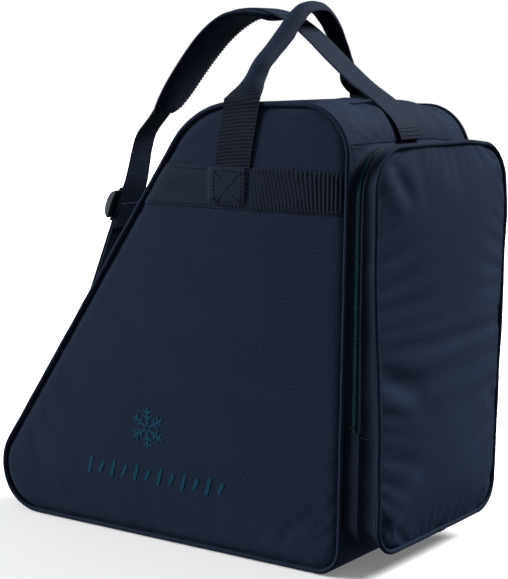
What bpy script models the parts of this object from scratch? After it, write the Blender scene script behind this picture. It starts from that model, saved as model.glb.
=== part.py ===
"""Ski boot bag: a wedge-shaped soft case for one pair of ski boots.

Metres, +Z up. The toe points to -X and the zipped door box is on the heel at +X. The left side panel is at
-Y. The origin is on the floor, under the middle of the side panels.

The side profile, the section of the door box and the routes of the straps are the design. Every sewn piece is
a layer at its own depth from one of them, so that neighbours meet with a small gap.
"""

import math

import bmesh
import bpy
from mathutils import Vector

GAP = 0.0003  # between pieces that touch on the real bag

# Side profile, in (x, z), to the outside of the piping
HEIGHT = 0.400
HEEL_X = 0.200
SLOPE_POINT = (-0.120, 0.170)
SLOPE_ANGLE = math.radians(55)
TOE_RADIUS = 0.044
CROWN_RADIUS = 0.088
HEEL_TOP_RADIUS = 0.045
HEEL_BOTTOM_RADIUS = 0.025
ARC_STEPS = 7

# Layers
PANEL_Y = 0.108  # outer face of each side panel
PANEL_THICK = 0.0018
FOAM_THICK = 0.0047
LINING_THICK = 0.0008
GUSSET_HALF = 0.1048  # half the width of the gussets between the panels
GUSSET_INSET = 0.0015
GUSSET_THICK = 0.0025
PIPING_RADIUS = 0.0022
PIPING_Y = 0.1075
PANEL_INSET = 0.0048

SURROUND_Z = (0.0256, 0.3660)
SURROUND_RADIUS = 0.004
SURROUND_INSET = 0.0045
SURROUND_LIP = 0.0030
BOARD_X = (-0.145, 0.170)
BOARD_HALF = 0.094
BOARD_THICK = 0.0020
BINDING_INSET = 0.0052
BINDING_FLOOR = 0.0020
BINDING_WIDTH = 0.0080
BINDING_THICK = 0.0012

# Door box on the heel, a rounded trapezium in (y, z) that narrows towards its front
BOX_BACK_X = 0.1980
BOX_FRONT_X = 0.2336
BOX_WALL = 0.0020
BOX_BACK_HALF = (0.1046, 0.1046)  # half widths at the bottom and at the top
BOX_FRONT_HALF = (0.1043, 0.1110)
BOX_BACK_Z = (0.0340, 0.3630)
BOX_FRONT_Z = (0.0205, 0.3650)
BOX_RADIUS_TOP = 0.037
BOX_RADIUS_BOTTOM = 0.030
FOLD_Z = 0.128  # level of the zip's two ends, where the door folds down
FOLD_CLEARANCE = 0.0006
DOOR_SKIN = 0.0016

# The box's gusset from back to front: strip, tape, coil, coil, tape, gusset
SURROUND_END_X = 0.2010
BODY_TAPE_X = (0.2013, 0.2035)
BODY_COIL_X = (0.2037, 0.2049)
DOOR_COIL_X = (0.2052, 0.2064)
DOOR_TAPE_X = (0.2066, 0.2088)
DOOR_GUSSET_X = 0.2091
ZIP_TOP_OF_STOP_Z = 0.134
TAPE_THICK = 0.0010
COIL_THICK = 0.0022
COIL_RAISE = 0.0008
STOP_Z = 0.1302
STOP_HEIGHT = 0.0030
STOP_DEPTH = 0.0024
PIPING_SEAT = 0.0050
PIPING_X = 0.2325
GUSSET_END_X = PIPING_X - PIPING_RADIUS - GAP
DOOR_FOAM = 0.0040
DOOR_FOAM_INSET = 0.0056
DOOR_TEETH_START_Z = 0.142

# Webbing
WEBBING = 0.036
WEBBING_THICK = 0.0016
BAND_Z = (0.308, 0.344)
BAND_Y = 0.1083
LEG_Y = 0.1103
LEG_BOTTOM = (0.079, 0.3125)  # centre of the handle's leg on the panel, in (x, z)
LEG_TOP = (0.086, 0.4000)

# Carry handle, in (y, z)
HANDLE_X = 0.084
HANDLE_PIVOT_Z = 0.408
HANDLE_ROOT = ((-0.1111, 0.4006), (-0.1108, 0.4040), (-0.1075, 0.4070), (-0.1000, 0.4082), (-0.0955, 0.4090))
HANDLE_ARCH = (
    (-0.0935, 0.4098), (-0.0840, 0.4145), (-0.0740, 0.4240), (-0.0660, 0.4350), (-0.0480, 0.4510),
    (-0.0260, 0.4680), (-0.0080, 0.4790), (0.0110, 0.4840), (0.0330, 0.4820), (0.0500, 0.4740),
    (0.0670, 0.4560), (0.0790, 0.4370), (0.0880, 0.4205), (0.0935, 0.4110),
)  # fmt: skip
HANDLE_NARROWS_OVER = 0.022
HANDLE_GRIP = 0.024  # the webbing curls to this width above the roots

# Shoulder strap, in (x, z), from its seam at the heel over the bag and down to the toe
ANCHOR_ANGLES = (math.radians(14), math.radians(48))
STRAP_STANDOFF = 0.0017  # centre of the sewn end above the gusset's face
STRAP_ROUTE = (
    (0.1720, 0.4003), (0.1490, 0.4130), (0.1290, 0.4250), (0.1090, 0.4385), (0.0920, 0.4515),
    (0.0780, 0.4605), (0.0640, 0.4675), (0.0480, 0.4730), (0.0310, 0.4755), (0.0130, 0.4740),
    (-0.0030, 0.4680), (-0.0210, 0.4550), (-0.0390, 0.4375), (-0.0560, 0.4180), (-0.0710, 0.3990),
    (-0.0860, 0.3800), (-0.0990, 0.3600), (-0.1070, 0.3420), (-0.1120, 0.3280), (-0.1180, 0.3125),
    (-0.1310, 0.2815), (-0.1440, 0.2505), (-0.1570, 0.2195),
    (-0.1660, 0.1970), (-0.1730, 0.1740), (-0.1785, 0.1500), (-0.1830, 0.1270),
)  # fmt: skip
STRAP_Y_HEEL = -0.010
STRAP_Y_TOE = 0.002
STRAP_Y_BLEND_X = (0.172, 0.090)
RETURN_OFFSET = 0.0030  # from the strap to its second layer on the bag's side
RETURN_TOP_Z = 0.2800

# Shoulder pad, sewn under the strap
PAD_RANGE_X = (-0.0750, 0.0640)  # its two ends
PAD_WIDTH = 0.056
PAD_END_WIDTH = 0.034
PAD_FOAM = 0.0052
PAD_SKIN = 0.0010
PAD_BINDING = 0.0016
PAD_END_SHARE = 0.22
ANCHOR_GAP = 0.0024

# Ring and tab at the toe
TAB_HEIGHT_Z = 0.086
RING_OFFSET = 0.0080  # lower bar above the gusset's face
RING_REACH = 0.0150
RING_LEAN = math.radians(84)
RING_BAR = 0.0020
RING_HALF = 0.0215
TAB_WIDTH = 0.025
TAB_CLEARANCE = 0.0015
TAB_LENGTH = 0.030
RING_CORNER = 0.003

# Strap adjuster, in distances along the strap and out from it
ADJUSTER_AT = (-0.1262, 0.2929)
ADJUSTER_HALF_LENGTH = 0.0145
ADJUSTER_HALF_WIDTH = 0.0240
ADJUSTER_HEIGHT = 0.0090
ADJUSTER_HOLLOW = 0.0010
STRAP_STRAIGHT = ((-0.1180, 0.3125), (-0.1570, 0.2195))  # the stretch that the adjuster slides on
ADJUSTER_BARS = ((-0.0115, 0.0042, 0.0020, 0.0018), (0.0, 0.0024, 0.0022, 0.0024), (0.0115, 0.0042, 0.0020, 0.0018))
ADJUSTER_PASS = (
    (-0.0175, 0.0024), (-0.0120, 0.0026), (-0.0080, 0.0036), (-0.0045, 0.0058), (0.0, 0.0068),
    (0.0045, 0.0058), (0.0080, 0.0036), (0.0120, 0.0026), (0.0175, 0.0024),
)  # fmt: skip
ADJUSTER_FOLD = ((-0.0040, -0.0053), (0.0060, -0.0055), (0.0140, -0.0055), (0.0220, -0.0055))

# Zip slider on the right side of the box
SLIDER_X = 0.2050
SLIDER_Z = 0.1445
SLIDER_LENGTH = 0.0130
PULL_LENGTH = 0.036
SLIDER_THICK = 0.0020
CROWN_HALF = 0.0010
CROWN_HEIGHT = 0.0042
CROWN_POSTS = ((-0.0045, -0.0030), (0.0030, 0.0045))
PULL_AXIS_ABOVE = 0.0016
PULL_AXIS_RISE = 0.0005
PULL_HALF_WIDTH = 0.0035
PULL_THICK = 0.0014
PULL_BAR = 0.0009
PULL_WINDOW = 0.0090

NAVY = (0.012, 0.017, 0.034)
WEB_NAVY = (0.016, 0.021, 0.036)
BLACK = (0.010, 0.011, 0.014)
TEAL = (0.010, 0.060, 0.070)
SLATE = (0.060, 0.070, 0.095)
FOAM_GREY = (0.20, 0.20, 0.21)


# The heel's lean
LEAN = 0.0175  # metres towards the toe for each metre down
LEAN_TOP_Z = 0.3660  # the lean starts here, and everything above it stands straight
LEAN_X = (0.1000, 0.1900)  # it fades in from the middle of the bag to the heel


def clear_scene():
    for thing in list(bpy.data.objects):
        bpy.data.objects.remove(thing, do_unlink=True)


def material(name, colour, roughness, metallic=0.0):
    found = bpy.data.materials.get(name)
    if found:
        return found
    made = bpy.data.materials.new(name)
    made.use_nodes = True
    shader = made.node_tree.nodes["Principled BSDF"]
    shader.inputs["Base Color"].default_value = (*colour, 1.0)
    shader.inputs["Roughness"].default_value = roughness
    shader.inputs["Metallic"].default_value = metallic
    return made


def fabric():
    return material("polyester_twill", NAVY, 0.85)


def webbing():
    return material("webbing", WEB_NAVY, 0.80)


def lining():
    return material("lining", BLACK, 0.80)


def foam():
    return material("foam", FOAM_GREY, 0.95)


def plastic_board():
    return material("base_board", (0.02, 0.02, 0.022), 0.60)


def piping_cover():
    return material("piping", NAVY, 0.70)


def zip_tape():
    return material("zip_tape", BLACK, 0.80)


def zip_coil():
    return material("zip_coil", TEAL, 0.45)


def metal():
    return material("zip_metal", (0.03, 0.04, 0.06), 0.40, 0.8)


def plastic():
    return material("buckle_plastic", SLATE, 0.45)


def heel_lean(point):
    """How far a point moves towards the toe, because the heel leans in below its top seam."""
    share = min(max((point.x - LEAN_X[0]) / (LEAN_X[1] - LEAN_X[0]), 0.0), 1.0)
    return LEAN * max(0.0, LEAN_TOP_Z - point.z) * share * share * (3 - 2 * share)


def add_object(name, mesh, look, smooth_angle=None):
    for vertex in mesh.vertices:
        vertex.co.x -= heel_lean(vertex.co)
    mesh.materials.append(look)
    if smooth_angle:
        mesh.shade_smooth()
        mesh.set_sharp_from_angle(angle=smooth_angle)
    made = bpy.data.objects.new(name, mesh)
    bpy.context.scene.collection.objects.link(made)
    return made


# ---------------------------------------------------------------- building blocks


def sweep(name, sections, look, closed=False, smooth_angle=None):
    """Joins equal sections into one skin, with flat ends unless the run is closed."""
    form = bmesh.new()
    rings = [[form.verts.new(point) for point in section] for section in sections]
    count = len(rings[0])
    pairs = list(zip(rings, rings[1:]))
    if closed:
        pairs.append((rings[-1], rings[0]))
    for first, second in pairs:
        for i in range(count):
            j = (i + 1) % count
            form.faces.new((first[i], first[j], second[j], second[i]))
    if not closed:
        form.faces.new(rings[0])
        form.faces.new(list(reversed(rings[-1])))
    bmesh.ops.recalc_face_normals(form, faces=form.faces)
    mesh = bpy.data.meshes.new(name)
    form.to_mesh(mesh)
    form.free()
    return add_object(name, mesh, look, smooth_angle)


def prism(name, outline, place, low, high, look):
    """A flat outline given thickness. place(u, v, depth) returns the point in space."""
    sections = [[place(u, v, depth) for u, v in outline] for depth in (low, high)]
    return sweep(name, sections, look)


def side_plane(x, z, y):
    return (x, y, z)


def heel_plane(y, z, x):
    return (x, y, z)


def arc(centre, radius, start, end, steps):
    """Points on an arc from angle start to angle end."""
    return [
        (
            centre[0] + radius * math.cos(start + (end - start) * i / steps),
            centre[1] + radius * math.sin(start + (end - start) * i / steps),
        )
        for i in range(steps + 1)
    ]


def fillet(before, corner, after, radius, steps):
    """The arc that rounds a corner of a polygon."""
    corner = Vector(corner)
    back = (Vector(before) - corner).normalized()
    ahead = (Vector(after) - corner).normalized()
    half = back.angle(ahead) / 2
    centre = corner + (back + ahead).normalized() * radius / math.sin(half)
    reach = radius / math.tan(half)
    first = corner + back * reach - centre
    last = corner + ahead * reach - centre
    start = math.atan2(first.y, first.x)
    turn = math.atan2(first.x * last.y - first.y * last.x, first.dot(last))
    return arc(centre, radius, start, start + turn, steps)


def rounded(corners, radii, steps=ARC_STEPS):
    """A closed polygon with each corner rounded, as one list of arcs."""
    count = len(corners)
    return [
        fillet(corners[i - 1], corners[i], corners[(i + 1) % count], radii[i], steps)
        for i in range(count)
    ]


def smooth_route(points, spacing=0.006):
    """A curve through the points, read at even steps."""
    ends = [
        tuple(2 * a - b for a, b in zip(points[0], points[1])),
        tuple(2 * a - b for a, b in zip(points[-1], points[-2])),
    ]
    padded = [ends[0], *points, ends[1]]
    dense = []
    for p0, p1, p2, p3 in zip(padded, padded[1:], padded[2:], padded[3:]):
        for step in range(12):
            t = step / 12
            dense.append(
                Vector(
                    0.5
                    * (2 * b + (c - a) * t + (2 * a - 5 * b + 4 * c - d) * t**2 + (3 * b - a - 3 * c + d) * t**3)
                    for a, b, c, d in zip(p0, p1, p2, p3)
                )
            )
    dense.append(Vector(points[-1]))
    lengths = [0.0]
    for a, b in zip(dense, dense[1:]):
        lengths.append(lengths[-1] + (b - a).length)
    count = max(2, round(lengths[-1] / spacing))
    route = []
    at = 0
    for i in range(count + 1):
        wanted = lengths[-1] * i / count
        while at < len(dense) - 2 and lengths[at + 1] < wanted:
            at += 1
        share = (wanted - lengths[at]) / (lengths[at + 1] - lengths[at])
        route.append(dense[at].lerp(dense[at + 1], min(1.0, share)))
    return route


def normals_of(route):
    """The left-hand normal at each point of a plane route."""
    found = []
    for i, _ in enumerate(route):
        along = route[min(i + 1, len(route) - 1)] - route[max(i - 1, 0)]
        found.append(Vector((-along.y, along.x)).normalized())
    return found


def ribbon(name, route, thick, span, place, look, offset=0.0):
    """A flat strip along a plane route. span(point, share) returns its two edges across the plane."""
    sections = []
    last = len(route) - 1
    for i, (point, normal) in enumerate(zip(route, normals_of(route))):
        low, high = span(point, i / last)
        inner = point + normal * (offset - thick / 2)
        outer = point + normal * (offset + thick / 2)
        sections.append([place(*inner, low), place(*inner, high), place(*outer, high), place(*outer, low)])
    return sweep(name, sections, look, smooth_angle=math.radians(40))


def tube(name, points, radius, look, closed):
    """A round cord along points in space, as a curve with a round bevel."""
    curve = bpy.data.curves.new(name, "CURVE")
    curve.dimensions = "3D"
    curve.bevel_depth = radius
    curve.bevel_resolution = 2
    curve.use_fill_caps = True
    spline = curve.splines.new("POLY")
    spline.points.add(len(points) - 1)
    for slot, point in zip(spline.points, points):
        point = Vector(point)
        slot.co = (point.x - heel_lean(point), point.y, point.z, 1.0)
    spline.use_cyclic_u = closed
    curve.materials.append(look)
    made = bpy.data.objects.new(name, curve)
    bpy.context.scene.collection.objects.link(made)
    return made


def box(name, low, high, look):
    corners = [(low[0], low[1]), (high[0], low[1]), (high[0], high[1]), (low[0], high[1])]
    return sweep(name, [[(x, y, z) for x, y in corners] for z in (low[2], high[2])], look)


def combine(target, others, operation):
    """Adds or cuts other meshes with a Boolean, and keeps them as hidden helpers."""
    for i, other in enumerate(others):
        other.hide_render = True
        other.display_type = "WIRE"
        modifier = target.modifiers.new(f"{operation.lower()}_{i}", "BOOLEAN")
        modifier.operation = operation
        modifier.solver = "EXACT"
        modifier.object = other
    return target


# ---------------------------------------------------------------- the side profile


def slope_x(z, inset=0.0):
    """Where the toe slope, moved inwards by inset, is at height z."""
    run = (z - SLOPE_POINT[1]) / math.tan(SLOPE_ANGLE)
    return SLOPE_POINT[0] + run + inset / math.sin(SLOPE_ANGLE)


def side_arcs(inset, floor):
    """The profile's four rounded corners, moved inwards: toe, heel bottom, heel top and crown."""
    top = HEIGHT - inset
    heel = HEEL_X - inset
    corners = [(slope_x(floor, inset), floor), (heel, floor), (heel, top), (slope_x(top, inset), top)]
    radii = [TOE_RADIUS, HEEL_BOTTOM_RADIUS, HEEL_TOP_RADIUS, CROWN_RADIUS]
    return rounded(corners, [radius - inset for radius in radii])


def side_outline(inset, floor):
    return [point for corner in side_arcs(inset, floor) for point in corner]


def make_side(side, sign):
    """One side of the bag: outer panel, foam, lining and piping."""

    def at(depth):
        return sign * (PANEL_Y - depth)

    outline = side_outline(PANEL_INSET, PANEL_INSET + 3 * GAP)
    depth = 0.0
    layers = (
        ("side_panel", PANEL_THICK, fabric()),
        ("foam_pad", FOAM_THICK, foam()),
        ("lining", LINING_THICK, lining()),
    )
    for name, thick, look in layers:
        prism(f"{side}_{name}", outline, side_plane, at(depth), at(depth + thick), look)
        depth += thick + GAP
    inset = PIPING_RADIUS + GAP / 2
    path = [(x, sign * PIPING_Y, z) for x, z in side_outline(inset, PIPING_RADIUS + 2 * GAP)]
    tube(f"{side}_piping", path, PIPING_RADIUS, piping_cover(), closed=True)


def gusset(name, outer, inner, look, half=GUSSET_HALF):
    """A strip between the two sides, from its outer and inner runs in (x, z)."""
    sections = [
        [(a[0], -half, a[1]), (a[0], half, a[1]), (b[0], half, b[1]), (b[0], -half, b[1])]
        for a, b in zip(outer, inner)
    ]
    return sweep(name, sections, look, smooth_angle=math.radians(40))


def trimmed(run):
    """A run with each end drawn back by half a gap, so that two runs meet at a seam."""
    points = [Vector(point) for point in run]
    first = points[0] + (points[1] - points[0]).normalized() * GAP / 2
    last = points[-1] + (points[-2] - points[-1]).normalized() * GAP / 2
    return [first, *points[1:-1], last]


def heel_top_arc(inset, start_z):
    """The heel-top corner from height start_z round to the top."""
    centre = (HEEL_X - HEEL_TOP_RADIUS, HEIGHT - HEEL_TOP_RADIUS)
    radius = HEEL_TOP_RADIUS - inset
    return arc(centre, radius, math.asin((start_z - centre[1]) / radius), math.pi / 2, ARC_STEPS)


def make_gussets():
    runs = {"base_panel": [], "toe_gusset": [], "top_gusset": []}
    for inset, floor in ((GUSSET_INSET, 0.0), (GUSSET_INSET + GUSSET_THICK, GUSSET_THICK)):
        toe, heel_bottom, _, crown = side_arcs(inset, floor)
        runs["base_panel"].append(trimmed([toe[-1], *heel_bottom]))
        runs["toe_gusset"].append(trimmed([*crown, *toe]))
        runs["top_gusset"].append(trimmed([*heel_top_arc(inset, SURROUND_Z[1]), crown[0]]))
    for name, (outer, inner) in runs.items():
        gusset(name, outer, inner, fabric())
    low = (BOARD_X[0], -BOARD_HALF, GUSSET_THICK + GAP)
    box("base_board", low, (BOARD_X[1], BOARD_HALF, low[2] + BOARD_THICK), plastic_board())


def make_seam_binding(side, sign):
    """The tape that binds the raw edges of a side seam, inside the bag."""
    inner_y = sign * (PANEL_Y - PANEL_THICK - FOAM_THICK - LINING_THICK - 3 * GAP)
    outer = side_outline(BINDING_INSET, BINDING_INSET + BINDING_FLOOR)
    inner = side_outline(BINDING_INSET + BINDING_WIDTH, BINDING_INSET + BINDING_FLOOR + BINDING_WIDTH)
    deep_y = inner_y - sign * BINDING_THICK
    sections = [
        [(a[0], inner_y, a[1]), (b[0], inner_y, b[1]), (b[0], deep_y, b[1]), (a[0], deep_y, a[1])]
        for a, b in zip(outer, inner)
    ]
    sweep(f"{side}_seam_binding", sections, lining(), closed=True)


# ---------------------------------------------------------------- the door box


def box_section(x, inset):
    """(half width at the bottom, at the top, bottom z, top z) of the box at x, moved inwards by inset."""
    share = (x - BOX_BACK_X) / (BOX_FRONT_X - BOX_BACK_X)

    def between(back, front):
        return back + (front - back) * share

    half = [between(back, front) - inset for back, front in zip(BOX_BACK_HALF, BOX_FRONT_HALF)]
    bottom, top = (between(back, front) for back, front in zip(BOX_BACK_Z, BOX_FRONT_Z))
    return half[0], half[1], bottom + inset, top - inset


def half_width_at(x, inset, z):
    low, high, bottom, top = box_section(x, inset)
    return low + (high - low) * (z - bottom) / (top - bottom)


def box_outline(x, inset):
    """The whole outline of the box at x, counter-clockwise in (y, z) from its bottom left corner."""
    low, high, bottom, top = box_section(x, inset)
    corners = [(-low, bottom), (low, bottom), (high, top), (-high, top)]
    radii = [BOX_RADIUS_BOTTOM - inset] * 2 + [BOX_RADIUS_TOP - inset] * 2
    return [point for corner in rounded(corners, radii) for point in corner]


def box_arch(x, inset, start_z):
    """The outline above start_z, from the left side over the top to the right side."""
    outline = box_outline(x, inset)
    top_arcs = outline[2 * (ARC_STEPS + 1) :]
    half = half_width_at(x, inset, start_z)
    return [(-half, start_z), *reversed(top_arcs), (half, start_z)]


def box_trough(x, inset, end_z):
    """The outline below end_z, from the left side under the bottom to the right side."""
    bottom_arcs = box_outline(x, inset)[: 2 * (ARC_STEPS + 1)]
    half = half_width_at(x, inset, end_z)
    return [(-half, end_z), *bottom_arcs, (half, end_z)]


def box_strip(name, run, x_range, level, look, thick=BOX_WALL, raise_by=0.0):
    """A strip of the box's wall between two x, along box_arch or box_trough."""
    back, front = x_range
    rows = [
        [(x, y, z) for y, z in run(x, inset, level)]
        for x, inset in (
            (back, -raise_by),
            (front, -raise_by),
            (front, thick - raise_by),
            (back, thick - raise_by),
        )
    ]
    return sweep(name, list(zip(*rows)), look, smooth_angle=math.radians(40))


def make_surround():
    """The sheet that closes the corners between the bag's square section and the round-cornered box."""
    x_low = HEEL_X - SURROUND_INSET
    x_high = BOX_BACK_X - GAP
    half = GUSSET_HALF
    low, high = SURROUND_Z
    corners = [(-half, low), (half, low), (half, high), (-half, high)]
    outer = [point for corner in rounded(corners, [SURROUND_RADIUS] * 4) for point in corner]
    inner = box_outline(BOX_BACK_X, SURROUND_LIP)
    sections = [
        [(x_low, *a), (x_high, *a), (x_high, *b), (x_low, *b)] for a, b in zip(outer, inner)
    ]
    sweep("heel_surround", sections, fabric(), closed=True)


def make_box_fixed():
    """What stays on the bag: the strip and half the zip above the fold, and the whole lower part."""
    box_strip("zip_surround", box_arch, (BOX_BACK_X, SURROUND_END_X), FOLD_Z, fabric())
    box_strip("body_zip_tape", box_arch, BODY_TAPE_X, ZIP_TOP_OF_STOP_Z, zip_tape(), thick=TAPE_THICK)
    box_strip("body_zip_coil", box_arch, BODY_COIL_X, ZIP_TOP_OF_STOP_Z, zip_coil(), COIL_THICK, COIL_RAISE)
    level = FOLD_Z - FOLD_CLEARANCE
    box_strip("lower_box_gusset", box_trough, (BOX_BACK_X, GUSSET_END_X), level, fabric())
    make_door_skin("lower_box_panel", box_trough, level, fabric())
    make_box_piping("lower_box_piping", box_trough, level - PIPING_RADIUS)
    for side, sign in (("left", -1), ("right", 1)):
        y = sign * half_width_at(BODY_COIL_X[0], 0.0, STOP_Z)
        ends = sorted((y, y - sign * STOP_DEPTH))
        low = (BODY_TAPE_X[0], ends[0], STOP_Z)
        box(f"{side}_zip_stop", low, (DOOR_TAPE_X[1], ends[1], STOP_Z + STOP_HEIGHT), metal())


def make_door_skin(name, run, level, look):
    """The flat front of the box, inside its piping."""
    x_low = BOX_FRONT_X - DOOR_SKIN
    outline = run(BOX_FRONT_X, PIPING_SEAT, level)
    return prism(name, outline, heel_plane, x_low, BOX_FRONT_X, look)


def make_box_piping(name, run, level):
    path = [(PIPING_X, y, z) for y, z in run(BOX_FRONT_X, PIPING_RADIUS, level)]
    tube(name, path, PIPING_RADIUS, piping_cover(), closed=False)


def make_door():
    """The flap: front panel, foam, lining, gusset, piping and its half of the zip."""
    level = FOLD_Z + FOLD_CLEARANCE
    box_strip("door_zip_coil", box_arch, DOOR_COIL_X, DOOR_TEETH_START_Z, zip_coil(), COIL_THICK, COIL_RAISE)
    box_strip("door_zip_tape", box_arch, DOOR_TAPE_X, DOOR_TEETH_START_Z, zip_tape(), thick=TAPE_THICK)
    box_strip("door_gusset", box_arch, (DOOR_GUSSET_X, GUSSET_END_X), level, fabric())
    make_door_skin("door_panel", box_arch, level, fabric())
    make_box_piping("door_piping", box_arch, level + PIPING_RADIUS)
    face = BOX_FRONT_X - DOOR_SKIN - GAP
    for name, thick, look in (("door_foam", DOOR_FOAM, foam()), ("door_lining", LINING_THICK, lining())):
        outline = box_arch(BOX_FRONT_X, DOOR_FOAM_INSET, level)
        prism(name, outline, heel_plane, face - thick, face, look)
        face -= thick + GAP


# ---------------------------------------------------------------- webbing on the sides and the handle


def make_band(side, sign):
    """The band across a side panel, between its two runs of piping."""
    low, high = BAND_Z
    ends = PANEL_INSET + 2 * GAP
    outline = [
        (slope_x(low, ends), low),
        (HEEL_X - ends, low),
        (HEEL_X - ends, high),
        (slope_x(high, ends), high),
    ]
    depth = sign * BAND_Y
    prism(f"{side}_band", outline, side_plane, depth, depth + sign * WEBBING_THICK, webbing())


def make_handle_leg(side, sign):
    """The handle's webbing where it is sewn up the side panel, over the band and the piping."""
    half = WEBBING / 2
    bottom, top = LEG_BOTTOM, LEG_TOP
    outline = [
        (bottom[0] - half, bottom[1]),
        (bottom[0] + half, bottom[1]),
        (top[0] + half, top[1]),
        (top[0] - half, top[1]),
    ]
    depth = sign * LEG_Y
    prism(f"{side}_handle_leg", outline, side_plane, depth, depth + sign * WEBBING_THICK, webbing())


def make_handle():
    def place(y, z, x):
        return (x, y, z)

    def root_span(point, share):
        return HANDLE_X - WEBBING / 2, HANDLE_X + WEBBING / 2

    def grip_span(point, share):
        rise = min(1.0, (point.y - HANDLE_PIVOT_Z) / HANDLE_NARROWS_OVER)
        half = (WEBBING + (HANDLE_GRIP - WEBBING) * rise) / 2
        return HANDLE_X - half, HANDLE_X + half

    for side, sign in (("left", 1), ("right", -1)):
        root = smooth_route([(sign * y, z) for y, z in HANDLE_ROOT], spacing=0.003)
        ribbon(f"{side}_handle_root", root, WEBBING_THICK, root_span, place, webbing())
    arch = smooth_route(HANDLE_ARCH)
    ribbon("carry_handle", arch, WEBBING_THICK, grip_span, place, webbing())


# ---------------------------------------------------------------- shoulder strap


def strap_y(x):
    """The strap's middle drifts from its seam at the heel to the bag's middle."""
    start, end = STRAP_Y_BLEND_X
    share = min(1.0, max(0.0, (start - x) / (start - end)))
    return STRAP_Y_HEEL + (STRAP_Y_TOE - STRAP_Y_HEEL) * share * share * (3 - 2 * share)


def strap_span(point, share):
    middle = strap_y(point.x)
    return middle - WEBBING / 2, middle + WEBBING / 2


def anchor_route():
    """The sewn end of the strap, which follows the heel-top corner."""
    centre = (HEEL_X - HEEL_TOP_RADIUS, HEIGHT - HEEL_TOP_RADIUS)
    radius = HEEL_TOP_RADIUS - GUSSET_INSET + STRAP_STANDOFF
    return [Vector(point) for point in arc(centre, radius, *ANCHOR_ANGLES, ARC_STEPS)]


def strap_route():
    """The strap's middle line from just past its sewn end to the ring."""
    end = anchor_route()[-1]
    along = Vector((-math.sin(ANCHOR_ANGLES[1]), math.cos(ANCHOR_ANGLES[1])))
    return smooth_route([tuple(end + along * ANCHOR_GAP), *STRAP_ROUTE], spacing=0.0055)


def ring_bars():
    """The ring's lower and upper bars, in (x, z): above the slope, and leaning the way the strap pulls."""
    foot = Vector((slope_x(TAB_HEIGHT_Z, GUSSET_INSET), TAB_HEIGHT_Z))
    outward = Vector((-math.sin(SLOPE_ANGLE), math.cos(SLOPE_ANGLE)))
    lower = foot + outward * RING_OFFSET
    return lower, lower + Vector((math.cos(RING_LEAN), math.sin(RING_LEAN))) * RING_REACH


def make_strap():
    look = webbing()
    ribbon("strap_anchor", anchor_route(), WEBBING_THICK, strap_span, side_plane, look)
    main = strap_route()
    _, bar = ring_bars()
    turn_radius = RING_BAR + WEBBING_THICK / 2 + 2 * GAP
    turn = [Vector(point) for point in arc(bar, turn_radius, math.pi, 2 * math.pi, 8)]
    normals = normals_of(main)
    back = [
        point + normal * RETURN_OFFSET
        for point, normal in zip(main, normals)
        if point.x < 0 and STRAP_ROUTE[-1][1] + 0.004 < point.y < RETURN_TOP_Z
    ]
    route = [*main, *turn, *reversed(back)]
    ribbon("shoulder_strap", route, WEBBING_THICK, strap_span, side_plane, look)
    make_pad([p for p in main if PAD_RANGE_X[0] < p.x < PAD_RANGE_X[1]])
    make_ring_and_tab()


def pad_half_width(share):
    """The pad's half width along its length, rounded off to the webbing at both ends."""
    end = min(1.0, min(share, 1 - share) / PAD_END_SHARE)
    bulge = math.sqrt(1 - (1 - end) ** 2)
    return (PAD_END_WIDTH + (PAD_WIDTH - PAD_END_WIDTH) * bulge) / 2


def make_pad(route):
    """The pad under the strap: cover, foam, mesh on the shoulder's side, and a bound edge round all three."""

    def span_for(trim):
        def span(point, share):
            middle = strap_y(point.x)
            half = pad_half_width(share) - trim
            return middle - half, middle + half

        return span

    depth = WEBBING_THICK / 2 + GAP
    for name, thick, look in (
        ("pad_cover", PAD_SKIN, fabric()),
        ("pad_foam", PAD_FOAM, foam()),
        ("pad_mesh", PAD_SKIN, material("spacer_mesh", BLACK, 0.9)),
    ):
        ribbon(name, route, thick, span_for(PAD_BINDING), side_plane, look, offset=depth + thick / 2)
        depth += thick + GAP
    top = WEBBING_THICK / 2 + GAP
    last = len(route) - 1
    normals = normals_of(route)
    for side, sign in (("left", -1), ("right", 1)):
        sections = []
        for i, (point, normal) in enumerate(zip(route, normals)):
            edge = strap_y(point.x) + sign * pad_half_width(i / last)
            inner_edge = edge - sign * (PAD_BINDING - GAP)
            upper = point + normal * top
            lower = point + normal * depth
            corners = ((upper, edge), (lower, edge), (lower, inner_edge), (upper, inner_edge))
            sections.append([side_plane(*where, y) for where, y in corners])
        sweep(f"pad_{side}_binding", sections, webbing())


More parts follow.
